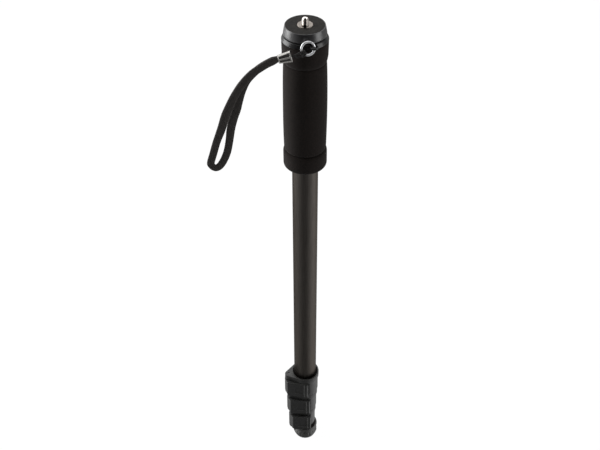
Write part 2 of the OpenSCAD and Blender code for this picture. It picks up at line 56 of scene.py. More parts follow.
Tree = bpy.types.NodeTree
Piece = bpy.types.Object
Point = tuple[float, float, float]


class Slot(Enum):
    """Names of the record's material slots."""

    NICKEL = "nickel"
    PAD = "pad_rubber"
    PLATE = "black_plate"
    GLOSS = "black_gloss"
    STEEL = "steel"
    FOAM = "black_foam"
    CORD = "black_cord"
    TUBE = "bronze_tube"
    SATIN = "black_satin"
    FOOT = "foot_rubber"


class Axis(Enum):
    """Ways that a finish can be stretched by the process that made the surface."""

    NONE = (1.0, 1.0, 1.0)
    DRAWN = (1.0, 1.0, 0.02)


def show(name: str, data: Any) -> Piece:
    """Adds an object with this mesh, lamp or camera to the scene."""
    item = bpy.data.objects.new(name, data)
    bpy.context.scene.collection.objects.link(item)
    return item


# Surfaces


def turns(count: int) -> Array:
    """Equal angles once round, the last of them one step short of the first."""
    return np.linspace(0, FULL_TURN, count, endpoint=False)


def polar(radius: Any, turn: Array, height: Any) -> Array:
    """Points of a polar form: x is r cos t, y is r sin t, and z is the height."""
    return np.stack(np.broadcast_arrays(radius * np.cos(turn), radius * np.sin(turn), height), -1)


def lathe(profile: Array, sides: int = 128) -> Array:
    """Turns a profile round the Z axis.

    Args:
        profile: Radii and heights, one row each.
        sides: Number of columns round the axis.

    Returns:
        Grid of points, one row for each point of the profile.
    """
    return polar(profile[:, :1], turns(sides), profile[:, 1:])


def ring_rows(rows: Sequence[tuple[Any, float]], turn: Array) -> Array:
    """Radius and height at each angle, for rows whose radius is one number or one for each angle."""
    whole = np.ones_like(turn)
    return np.stack([np.stack([radius * whole, height * whole], -1) for radius, height in rows])


def eased(corners: Array, radius: Any, steps: int = 5) -> Array:
    """Rounds each corner of a closed outline with a quadratic curve.

    The curve runs from the point one radius before the corner to the point one radius after it, with the corner
    as its handle, and takes no more than 45% of either side.

    Args:
        corners: Points along axis 0, with coordinates on the last axis.
        radius: One reach for all the corners, or one for each.
        steps: Points on each rounded corner.

    Returns:
        The rounded outline, with steps points for each corner.
    """
    back, ahead = np.roll(corners, 1, 0) - corners, np.roll(corners, -1, 0) - corners
    wanted = np.reshape(np.broadcast_to(radius, len(corners)), (-1,) + (1,) * (corners.ndim - 1))
    ends = []
    for side in (back, ahead):
        length = np.maximum(np.linalg.norm(side, axis=-1, keepdims=True), 1e-9)
        ends.append(corners + side * np.minimum(wanted / length, 0.45))
    t = np.linspace(0, 1, steps).reshape((1, steps) + (1,) * (corners.ndim - 1))
    start, middle, end = ends[0][:, None], corners[:, None], ends[1][:, None]
    curve = (1 - t) ** 2 * start + 2 * t * (1 - t) * middle + t**2 * end
    return curve.reshape((-1,) + corners.shape[1:])


def through(knots: Array, steps: int) -> Array:
    """Smooth curve through points: the cubic whose slope at each is half the step between its neighbours.

    Args:
        knots: Points that the curve passes through.
        steps: Points from one knot to the next.

    Returns:
        Points along the curve, from the first knot to the last.
    """
    padded = np.concatenate([knots[:1], knots, knots[-1:]])
    a, b, c, d = (padded[i : len(knots) - 1 + i, None] for i in range(4))
    t = np.linspace(0, 1, steps, endpoint=False)[None, :, None]
    square, cube = 2 * a - 5 * b + 4 * c - d, 3 * b - a - 3 * c + d
    curve = 0.5 * (2 * b + (c - a) * t + square * t**2 + cube * t**3)
    return np.concatenate([curve.reshape(-1, knots.shape[1]), knots[-1:]])


def travelled(path: Array) -> Array:
    """Distance from the start of a path to each of its points."""
    return np.concatenate([[0.0], np.cumsum(np.linalg.norm(np.diff(path, axis=0), axis=1))])


def even(path: Array, count: int) -> Array:
    """Points at equal distances along a path, by interpolation on the distance travelled."""
    far = travelled(path)
    stops = np.linspace(0, far[-1], count)
    return np.stack([np.interp(stops, far, column) for column in path.T], -1)


def unit(vectors: Array) -> Array:
    """Vectors scaled to length one."""
    return vectors / np.linalg.norm(vectors, axis=-1, keepdims=True)


def swept(path: Array, section: Array, side: Sequence[float]) -> Array:
    """Carries a section along a path: path + s0 * width + s1 * depth.

    The width direction is side x heading and the depth direction is heading x width.

    Args:
        path: Points of the centreline.
        section: Offsets across and through, as one outline or as one for each point of the path.
        side: Direction that the depth of the section keeps to.

    Returns:
        Grid of points, one row for each point of the path.
    """
    heading = unit(np.gradient(path, axis=0))
    across = unit(np.cross(np.asarray(side, float), heading))
    deep = np.cross(heading, across)
    outline = np.broadcast_to(section, (len(path),) + section.shape[-2:])
    return path[:, None] + outline[..., :1] * across[:, None] + outline[..., 1:] * deep[:, None]


def oval(width: float, depth: float, fullness: float, count: int) -> Array:
    """Closed superellipse: each coordinate is a cosine or sine raised to 2 / fullness with its sign kept."""
    wave = polar(1.0, turns(count), 0.0)[:, :2]
    return np.sign(wave) * np.abs(wave) ** (2 / fullness) * [width / 2, depth / 2]


def ramp(value: Array, start: float, end: float) -> Array:
    """Smooth step: 0 before start, 1 after end, and 3 t^2 - 2 t^3 between them."""
    t = np.clip((value - start) / (end - start), 0, 1)
    return t * t * (3 - 2 * t)


def window(value: Array, low: float, high: float, soft: float) -> Array:
    """1 from low to high and 0 outside, with edges that take the distance soft."""
    return ramp(value, low, low + soft) * (1 - ramp(value, high - soft, high))


def turned(points: Array, degrees: float, shift: Sequence[float] = (0.0, 0.0, 0.0)) -> Array:
    """Points turned about the Z axis and then moved."""
    c, s = math.cos(math.radians(degrees)), math.sin(math.radians(degrees))
    return points @ np.array([[c, s, 0], [-s, c, 0], [0, 0, 1]]) + np.asarray(shift, float)


class Shell:
    """Closed surfaces that are gathered for one piece, in millimetres.

    Attributes:
        points: Points of each surface.
        faces: Faces, by the numbers of their points.
        map: Column and row of each face's corners, from 0 to 1.
        cutters: Closed shells that are taken away from this one.
        count: Number of points so far.
    """

    def __init__(self) -> None:
        """Starts with no surface."""
        self.points: list[Array] = []
        self.faces: list[list[int]] = []
        self.map: list[Array] = []
        self.cutters: list["Shell"] = []
        self.count = 0

    def grid(self, points: Array, loop: bool = False, caps: bool = False) -> "Shell":
        """Adds the quads of a grid whose columns close on themselves.

        Args:
            points: Rows and columns of points.
            loop: Whether the last row joins the first.
            caps: Whether a face closes the first row and another the last.

        Returns:
            This shell.
        """
        rows, columns = points.shape[:2]
        r, c = np.meshgrid(np.arange(rows if loop else rows - 1), np.arange(columns), indexing="ij")
        corners = [(r, c), (r, c + 1), (r + 1, c + 1), (r + 1, c)]
        quads = np.stack([i % rows * columns + j % columns for i, j in corners], -1)
        lay = [np.stack([j / columns, i / (rows - 1)], -1) for i, j in corners]
        self.map.append(np.stack(lay, 2).reshape(-1, 2))
        self.faces += (quads.reshape(-1, 4) + self.count).tolist()
        if caps:
            ring = np.arange(columns) + self.count
            self.faces += [ring[::-1].tolist(), (ring + (rows - 1) * columns).tolist()]
            self.map.append(np.zeros((2 * columns, 2)))
        self.points.append(points.reshape(-1, 3))
        self.count += rows * columns
        return self

    def cut(self, *tools: Array) -> "Shell":
        """Notes grids of points, closed by caps, that are cut out of this shell, and returns the shell."""
        self.cutters += [Shell().grid(points, caps=True) for points in tools]
        return self

    def mesh(self, name: str) -> bpy.types.Mesh:
        """Makes the mesh in metres, joins points that fall together, turns its faces outwards and cuts it."""
        mesh = bpy.data.meshes.new(name)
        mesh.from_pydata(np.concatenate(self.points) * MM, [], self.faces)
        layer = mesh.uv_layers.new(name="lay")
        layer.data.foreach_set("uv", np.concatenate(self.map).astype(np.float32).ravel())
        work = bmesh.new()
        work.from_mesh(mesh)
        bmesh.ops.remove_doubles(work, verts=work.verts, dist=1e-7)
        bmesh.ops.dissolve_degenerate(work, edges=work.edges, dist=1e-8)
        bmesh.ops.recalc_face_normals(work, faces=work.faces)
        work.to_mesh(mesh)
        work.free()
        return self.carved(mesh) if self.cutters else mesh

    def carved(self, mesh: bpy.types.Mesh) -> bpy.types.Mesh:
        """Takes the cutters away from a mesh of this shell, and returns the cut mesh."""
        body = show(mesh.name, mesh)
        name = f"{mesh.name}_cut"
        tools = [show(name, cutter.mesh(name)) for cutter in self.cutters]
        for tool in tools:
            step = body.modifiers.new("cut", "BOOLEAN")
            step.operation, step.solver, step.object = "DIFFERENCE", "EXACT", tool
        seen = body.evaluated_get(bpy.context.evaluated_depsgraph_get())
        mesh = bpy.data.meshes.new_from_object(seen)
        for item in [body, *tools]:
            bpy.data.objects.remove(item)
        return mesh


def block(low: Sequence[float], high: Sequence[float]) -> Array:
    """Points of a plain block between two corners, for cutting."""
    (x0, y0, z0), (x1, y1, z1) = low, high
    rim = np.array([[x0, y0], [x1, y0], [x1, y1], [x0, y1]])
    return np.array([np.column_stack([rim, np.full(4, z)]) for z in (z0, z1)])


def rod(start: Sequence[float], end: Sequence[float], radius: float) -> Array:
    """Points of a plain round bar between two points, square to the X axis, for cutting."""
    return swept(np.array([start, end], float), oval(2 * radius, 2 * radius, 2, 48), (1.0, 0.0, 0.0))


# Finishes


def linear(code: str) -> tuple[float, float, float, float]:
    """Linear colour, with alpha 1, of an sRGB hex value such as #2A2A2A."""
    share = np.array([int(code[i : i + 2], 16) for i in (1, 3, 5)]) / 255
    value = np.where(share <= 0.04045, share / 12.92, ((share + 0.055) / 1.055) ** 2.4)
    return (*value.tolist(), 1.0)


def add_node(tree: Tree, kind: str, inputs: dict[Any, Any], **settings: Any) -> Node:
    """Adds a node, sets its properties, and gives each input a value or a link.

    Args:
        tree: Node tree to add to.
        kind: Blender's name for the node's type, after its prefix.
        inputs: Input names or numbers, each with a value, with the output socket to link from, or with a node
            whose first output it is.
        **settings: Properties of the node.

    Returns:
        The new node.
    """
    node = tree.nodes.new(f"ShaderNode{kind}")
    for key, value in settings.items():
        setattr(node, key, value)
    for key, value in inputs.items():
        source = value.outputs[0] if isinstance(value, Node) else value
        if isinstance(source, bpy.types.NodeSocket):
            tree.links.new(source, node.inputs[key])
        else:
            node.inputs[key].default_value = source
    return node


@dataclass(frozen=True)
class Finish:
    """A material with a grain: colour, roughness and relief all follow one pattern.

    Attributes:
        name: Material and how its surface was made.
        light: sRGB colour on the raised grain.
        dark: sRGB colour in the hollows.
        rough: Roughness in the hollows and on the raised grain.
        grain: Size of the grain in mm.
        relief: Height of the grain in mm.
        metallic: 1 for bare metal.
        specular: Specular level of a plastic or rubber.
        sheen: Weight of the fibre sheen.
        rim: sRGB tint of bare metal seen at a slant.
        axis: Direction that the grain is drawn out in.
    """

    name: str
    light: str
    dark: str
    rough: tuple[float, float]
    grain: float
    relief: float
    metallic: float = 0.0
    specular: float = 0.5
    sheen: float = 0.0
    rim: str = "#FFFFFF"
    axis: Axis = Axis.NONE

    def pattern(self, tree: Tree) -> Node:
        """Grain from 0 to 1: noise of three octaves on Object coordinates, one cell of it for each grain size."""
        place = add_node(tree, "TexCoord", {})
        size = 1 / (self.grain * MM)
        scaled = add_node(tree, "Mapping", {0: place.outputs["Object"], 3: [size * k for k in self.axis.value]})
        noise = add_node(tree, "TexNoise", {"Vector": scaled, "Scale": 1.0, "Detail": 3.0})
        return add_node(tree, "MapRange", {0: noise, 1: 0.3, 2: 0.7})

    def material(self) -> bpy.types.Material:
        """Makes the material, or returns it where it is made already."""
        known = bpy.data.materials.get(self.name)
        if known:
            return known
        made = bpy.data.materials.new(self.name)
        made.use_nodes = True
        tree = made.node_tree
        shader = tree.nodes["Principled BSDF"]
        for socket, value in (
            ("Metallic", self.metallic),
            ("Specular IOR Level", self.specular),
            ("Sheen Weight", self.sheen),
            ("Sheen Roughness", 0.45),
            ("Specular Tint", linear(self.rim)),
        ):
            shader.inputs[socket].default_value = value
        grain = self.pattern(tree)
        rough = add_node(tree, "MapRange", {0: grain, 3: self.rough[0], 4: self.rough[1]})
        shades = {0: grain, 6: linear(self.dark), 7: linear(self.light)}
        colour = add_node(tree, "Mix", shades, data_type="RGBA")
        bump = add_node(tree, "Bump", {"Height": grain, "Strength": 1.0, "Distance": self.relief * MM})
        tree.links.new(rough.outputs[0], shader.inputs["Roughness"])
        tree.links.new(colour.outputs[2], shader.inputs["Base Color"])
        tree.links.new(bump.outputs[0], shader.inputs["Normal"])
        return made


@dataclass(frozen=True)
class CellFinish(Finish):
    """A finish whose grain is small round cells, as in closed-cell foam or a grained mould."""

    def pattern(self, tree: Tree) -> Node:
        """Grain from 0 to 1: distance to the nearest cell centre, broken up by a noise four cells wide."""
        place = add_node(tree, "TexCoord", {})
        size = 1 / (self.grain * MM)
        cells = add_node(tree, "TexVoronoi", {"Vector": place.outputs["Object"], "Scale": size})
        cloud = add_node(tree, "TexNoise", {"Vector": place.outputs["Object"], "Scale": size / 4})
        both = add_node(tree, "Math", {0: cells, 1: cloud}, operation="MULTIPLY")
        return add_node(tree, "MapRange", {0: both, 1: 0.05, 2: 0.45})


@dataclass(frozen=True)
class YarnFinish(Finish):
    """A braided finish: fine filaments that run along the yarns of both directions.

    Attributes:
        turns: Yarns of one direction round the braid.
        runs: Crossings along the braid.
        filaments: Filaments shown across one yarn.
    """

    turns: int = 12
    runs: float = 100.0
    filaments: float = 4.0

    def pattern(self, tree: Tree) -> Node:
        """Grain from 0 to 1: sine ridges across the yarn on top, where crossings alternate as on a chessboard."""
        lay = add_node(tree, "UVMap", {}, uv_map="lay")
        split = add_node(tree, "SeparateXYZ", {0: lay})
        around = add_node(tree, "Math", {0: split.outputs["X"], 1: float(self.turns)}, operation="MULTIPLY")
        along = add_node(tree, "Math", {0: split.outputs["Y"], 1: self.runs}, operation="MULTIPLY")
        both = {0: around, 1: along}
        yarns = [add_node(tree, "Math", both, operation=way) for way in ("ADD", "SUBTRACT")]
        cells = [add_node(tree, "Math", {0: yarn}, operation="FLOOR") for yarn in yarns]
        count = add_node(tree, "Math", {0: cells[0], 1: cells[1]}, operation="ADD")
        upper = add_node(tree, "Math", {0: count, 1: 2.0}, operation="FLOORED_MODULO")
        picked = add_node(tree, "Mix", {0: upper, 2: yarns[0], 3: yarns[1]})
        angle = add_node(tree, "Math", {0: picked, 1: FULL_TURN * self.filaments}, operation="MULTIPLY")
        wave = add_node(tree, "Math", {0: angle}, operation="SINE")
        return add_node(tree, "MapRange", {0: wave, 1: -1.0, 2: 1.0})


# Nickel plate on a turned stud: warm white metal, with a faint grain from the barrel plating.
NICKEL = Finish("nickel_plate_turned", "#DAD4CE", "#B0AAA4", (0.22, 0.34), 0.5, 0.006, metallic=1.0)
# The same plating on a turned face, dulled by grip and dust: grey and mottled.
DULLED = Finish("nickel_plated_turned_face", "#968F89", "#5A5550", (0.42, 0.56), 1.2, 0.05, metallic=1.0)
# Chrome on drawn spring wire, rubbed by use: bright, with soft stripes from the light tent and the black grip.
CHROME = Finish("chrome_spring_wire", "#F0F1F3", "#DADBDE", (0.28, 0.36), 0.8, 0.002, metallic=1.0)
# Tinned steel strip, pressed to shape: soft bright edges and dull pressed panels.
TINPLATE = Finish("tinned_steel_pressed", "#D0CECA", "#A9A7A3", (0.32, 0.44), 0.7, 0.008, metallic=1.0)
# Painted shade on the floor of a pressed panel: dark grey and dull.
PANEL_PAINTED_SHADE = Finish("tinned_steel_panel_painted_shade", "#5C5A57", "#3A3836", (0.45, 0.6), 0.8, 0.01, metallic=0.6)
# Drawn pins dipped in black oxide: dark grey with a soft shine.
OXIDE = Finish("steel_black_oxide", "#32312F", "#242322", (0.36, 0.46), 0.4, 0.004, specular=0.6)
# Drawn steel of screws and rivets: mid grey, with a soft shine.
STEEL = Finish("steel_drawn", "#8E8C89", "#6F6D6A", (0.3, 0.42), 0.4, 0.006, metallic=1.0)
# Rubber and cork sheet: dark grey with a fine open grain that scatters the light.
PAD = CellFinish("rubber_cork_sheet", "#32302D", "#121110", (0.78, 0.92), 1.3, 0.2, specular=0.25)
# Gloss enamel on turned aluminium: near black with clear reflections.
ENAMEL = Finish("enamel_on_aluminium", "#131215", "#0F0E11", (0.3, 0.36), 3.0, 0.002, specular=0.75)
# Gloss ABS, injection moulded: black, with a slight orange peel.
GLOSS = Finish("abs_moulded_gloss", "#131314", "#0F0F10", (0.26, 0.32), 2.5, 0.003, specular=0.42)
# Painted shade in recesses, where little light reaches: nearly black, and dull.
PAINTED_SHADE = Finish("painted_shade_in_recess", "#1A1715", "#0E0C0B", (0.6, 0.8), 0.6, 0.004, specular=0.2)
# Closed-cell nitrile foam, moulded and ground: soot black, matt, with fine pores.
FOAM = CellFinish("nitrile_foam_ground", "#231D1A", "#14100E", (0.9, 1.0), 0.55, 0.06, specular=0.2, sheen=0.05)
# Anodised aluminium, drawn tube: dark bronze grey, satin, with lines along the tube.
ANODISED = Finish(
    "aluminium_anodised_bronze", "#5C5854", "#4A4643", (0.3, 0.4), 0.35, 0.004, metallic=1.0, rim="#C4C1BE",
    axis=Axis.DRAWN,
)
# Glass-filled nylon, moulded in a spark-eroded tool: black with a fine satin grain.
NYLON = CellFinish("nylon_moulded_satin", "#262625", "#1E1E1D", (0.4, 0.52), 0.28, 0.01, specular=0.5)
# Painted highlight: the same nylon, greyer and smoother, on the tops of the lever's grip ridges.
RIDGE_PAINTED_HIGHLIGHT = CellFinish("nylon_painted_highlight", "#454543", "#353534", (0.32, 0.42), 0.28, 0.006, specular=0.5)
# Natural rubber, moulded: black, slightly bloomed.
RUBBER = Finish("rubber_moulded", "#4C4C4A", "#363635", (0.4, 0.55), 0.9, 0.02, specular=0.6)
# Acetal, turned: the white of guide bushes and brake shoes.
ACETAL = Finish("acetal_turned", "#E6E3DC", "#D8D5CE", (0.35, 0.48), 0.6, 0.006)


def make_piece(
    name: str,
    shell: Shell,
    finish: Finish,
    body: str,
    replaces: Sequence[str] = (),
    sharp: float = 38.0,
) -> Piece:
    """Puts a shell into the scene as a piece of the object.

    Args:
        name: Name of the piece.
        shell: Its surfaces.
        finish: Finish that it wears.
        body: Frame body that it rides on.
        replaces: Frame nodes that it stands for.
        sharp: Angle in degrees from which an edge is shaded sharp.

    Returns:
        The new object.
    """
    mesh = shell.mesh(name)
    mesh.polygons.foreach_set("use_smooth", np.ones(len(mesh.polygons), bool))
    mesh.set_sharp_from_angle(angle=math.radians(sharp))
    mesh.materials.clear()
    mesh.materials.append(finish.material())
    piece = show(name, mesh)
    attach(piece, body)
    if replaces:
        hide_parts(*replaces)
    LOG.info("%s: %d faces, on %s", name, len(mesh.polygons), body)
    return piece


def stain(piece: Piece, finish: Finish, inside: Callable[[Array], Array]) -> None:
    """Gives some faces of a piece a second finish.

    Args:
        piece: The piece.
        finish: Its second finish.
        inside: Tells from the middles of the faces, in mm, which of them take it.
    """
    mesh = piece.data
    middles = np.empty(3 * len(mesh.polygons), np.float32)
    mesh.polygons.foreach_get("center", middles)
    slots = np.empty(len(mesh.polygons), np.int32)
    mesh.polygons.foreach_get("material_index", slots)
    slots[inside(middles.reshape(-1, 3) / MM)] = len(mesh.materials)
    mesh.materials.append(finish.material())
    mesh.polygons.foreach_set("material_index", slots)


def dress(nodes: Sequence[str], finish: Finish) -> None:
    """Gives frame nodes that stay in view their finish."""
    for name in nodes:
        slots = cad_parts[name].data.materials
        slots.clear()
        slots.append(finish.material())
        LOG.info("%s: kept from the frame, in %s", name, finish.name)


# Stage


@dataclass(frozen=True)
class PaperSide:
    """How bright one side of the paper floor glows in mirrors, as painted light.

    Attributes:
        start: Direction from the leg, in radians from the front, where the light begins.
        full: Direction where it is full.
        level: Its full level near the leg.
        near: Distance from the leg in metres where the level starts to change.
        far: Distance where the change is done.
        gain: Factor on the level from there on.
    """

    start: float
    full: float
    level: float
    near: float
    far: float
    gain: float


@dataclass
class Stage:
    """Camera, soft boxes, white floor and white surround.

    Attributes:
        distance: From the leg's axis to the camera, along the ground, in mm.
        height: Of the camera above the ground, in mm.
        pitch: Of the camera below the horizon, in degrees.
        focal: Focal length in pixels.
        picture_w: Width of the picture in pixels.
        centre: Column of the picture that the leg's axis falls on.
        daylight: Strength of the surround as it lights matt surfaces.
        mirror: Strength of the surround in mirrors.
        dusk: Share of both strengths that is left on the viewer's side.
        paper: Level of the paper floor in mirrors, at the front.
        sides: The two sides of the paper floor, right and left.
        behind: Directions between which the floor darkens behind the leg, and the factor that is left.
        glow: Level of the floor for the camera.
        glow_share: Share of the floor that glows; the rest is lit and keeps the shadow.
        floor_half: Half the width of the floor, in metres.
    """

    distance: float = 715.8
    height: float = 948.9
    pitch: float = 40.6
    focal: float = 935.0
    picture_w: int = 600
    centre: float = 305.1
    daylight: float = 0.3
    mirror: float = 0.4
    dusk: float = 0.2
    paper: float = 0.21
    sides: tuple[PaperSide, ...] = (
        PaperSide(0.3, 1.5, 1.0, 0.6, 1.1, 0.45), PaperSide(-0.45, -1.6, 0.5, 0.6, 0.95, 3.1),
    )
    behind: Point = (1.7, 2.8, 0.28)
    glow: float = 1.06
    glow_share: float = 0.93
    floor_half: float = 4.0

    def camera(self) -> None:
        """Places the camera, with its shift only as large as the framing needs."""
        lens = bpy.data.cameras.new("camera")
        lens.sensor_width = 36.0
        lens.lens = self.focal / self.picture_w * lens.sensor_width
        lens.shift_x = (self.picture_w / 2 - self.centre) / self.picture_w
        lens.clip_start, lens.clip_end = 0.01, 50.0
        eye = show("camera", lens)
        eye.location = (0.0, -self.distance * MM, self.height * MM)
        eye.rotation_euler = (math.radians(90 - self.pitch), 0.0, 0.0)
        bpy.context.scene.camera = eye

    def lamp(self, name: str, place: Point, aim: float, size: tuple[float, float], watts: float) -> None:
        """Adds a soft box.

        Args:
            name: Name of the lamp.
            place: Its centre, in metres.
            aim: Height on the leg's axis that it faces, in metres.
            size: Its width and height, in metres.
            watts: Its power.
        """
        light = bpy.data.lights.new(name, "AREA")
        light.shape, light.size, light.size_y, light.energy = "RECTANGLE", *size, watts
        item = show(name, light)
        item.location = place
        way = Vector((0.0, 0.0, aim)) - Vector(place)
        item.rotation_euler = way.to_track_quat("-Z", "Y").to_euler()

    def seen(self, tree: Tree, plain: Any, mirror: Any) -> Node:
        """Value that depends on the kind of ray: 1 for the camera's.

        Args:
            tree: Node tree to add to.
            plain: Value, or node of one, for the rays that light matt surfaces.
            mirror: Value, or node of one, for mirror and glass rays.

        Returns:
            Node of the value.
        """
        path = add_node(tree, "LightPath", {})
        rays = {0: path.outputs["Is Glossy Ray"], 1: path.outputs["Is Transmission Ray"]}
        shiny = add_node(tree, "Math", rays, operation="MAXIMUM")
        level = add_node(tree, "MapRange", {0: shiny, 3: plain, 4: mirror})
        return add_node(tree, "MapRange", {0: path.outputs["Is Camera Ray"], 3: level, 4: 1.0})

    def surround(self) -> None:
        """White world for the eye; it lights and mirrors less on the viewer's side, and mirrors show a ceiling."""
        world = bpy.data.worlds.new("surround")
        world.use_nodes = True
        bpy.context.scene.world = world
        tree = world.node_tree
        way = add_node(tree, "TexCoord", {})
        split = add_node(tree, "SeparateXYZ", {0: way.outputs["Generated"]})
        plain, level = (
            add_node(tree, "MapRange", {0: split.outputs["Y"], 1: -0.7, 2: 0.6, 3: self.dusk * full, 4: full})
            for full in (self.daylight, self.mirror)
        )
        ceiling = add_node(tree, "MapRange", {0: split.outputs["Z"], 1: 0.6, 2: 0.9, 4: 1.0})
        shine = add_node(tree, "Math", {0: level, 1: ceiling}, operation="ADD")
        sky = tree.nodes["Background"]
        tree.links.new(self.seen(tree, plain, shine).outputs[0], sky.inputs["Strength"])
        sky.inputs["Color"].default_value = (1.0, 1.0, 1.0, 1.0)

    def floor(self) -> None:
        """White floor that glows for the eye and keeps a faint shadow.

        In mirrors it glows with painted light: each side has a level of its own and the front is dark, as on paper
        that two soft boxes light from the sides, and it fades behind the leg as painted shade.
        """
        half = self.floor_half
        corners = [(-half, -half, 0.0), (half, -half, 0.0), (half, half, 0.0), (-half, half, 0.0)]
        mesh = bpy.data.meshes.new("floor")
        mesh.from_pydata(corners, [], [(0, 1, 2, 3)])
        made = bpy.data.materials.new("paper_white_matt")
        made.use_nodes = True
        tree = made.node_tree
        tree.nodes.remove(tree.nodes["Principled BSDF"])
        place = add_node(tree, "TexCoord", {}).outputs["Object"]
        split = add_node(tree, "SeparateXYZ", {0: place})
        ahead = add_node(tree, "Math", {0: split.outputs["Y"], 1: -1.0}, operation="MULTIPLY")
        turn = add_node(tree, "Math", {0: split.outputs["X"], 1: ahead}, operation="ARCTAN2")
        away = add_node(tree, "VectorMath", {0: place}, operation="LENGTH").outputs["Value"]
        level = self.paper
        for side in self.sides:
            spread = add_node(tree, "MapRange", {0: turn, 1: side.start, 2: side.full, 4: side.level})
            reach = add_node(tree, "MapRange", {0: away, 1: side.near, 2: side.far, 3: 1.0, 4: side.gain})
            lit = add_node(tree, "Math", {0: spread, 1: reach}, operation="MULTIPLY")
            level = add_node(tree, "Math", {0: lit, 1: level}, operation="ADD")
        off_front = add_node(tree, "Math", {0: turn}, operation="ABSOLUTE")
        start, end, left = self.behind
        fade = add_node(tree, "MapRange", {0: off_front, 1: start, 2: end, 3: 1.0, 4: left})
        level = add_node(tree, "Math", {0: level, 1: fade}, operation="MULTIPLY")
        matt = add_node(tree, "BsdfDiffuse", {"Color": linear("#B4B4B4")})
        white = (self.glow, self.glow, self.glow, 1.0)
        bright = add_node(tree, "Emission", {"Color": white, "Strength": self.seen(tree, 0.0, level)})
        share = {0: self.seen(tree, 0.0, 1.0), 1: self.glow_share}
        kept = add_node(tree, "Math", share, operation="MULTIPLY")
        mixed = add_node(tree, "MixShader", {0: kept, 1: matt, 2: bright})
        tree.links.new(mixed.outputs[0], tree.nodes["Material Output"].inputs["Surface"])
        mesh.materials.append(made)
        show("floor", mesh)

    def build(self) -> None:
        """Builds the whole stage."""
        bpy.context.scene.view_settings.view_transform = "Standard"
        self.camera()
        self.surround()
        self.floor()
        self.lamp("left_box", (-1.36, 0.26, 0.85), 0.45, (1.0, 1.5), 32.0)
        self.lamp("right_box", (1.33, -0.42, 0.55), 0.35, (0.8, 1.1), 9.0)
        self.lamp("back_box", (0.0, 1.2, 1.35), 0.3, (1.4, 0.8), 9.0)


# Sub-assemblies


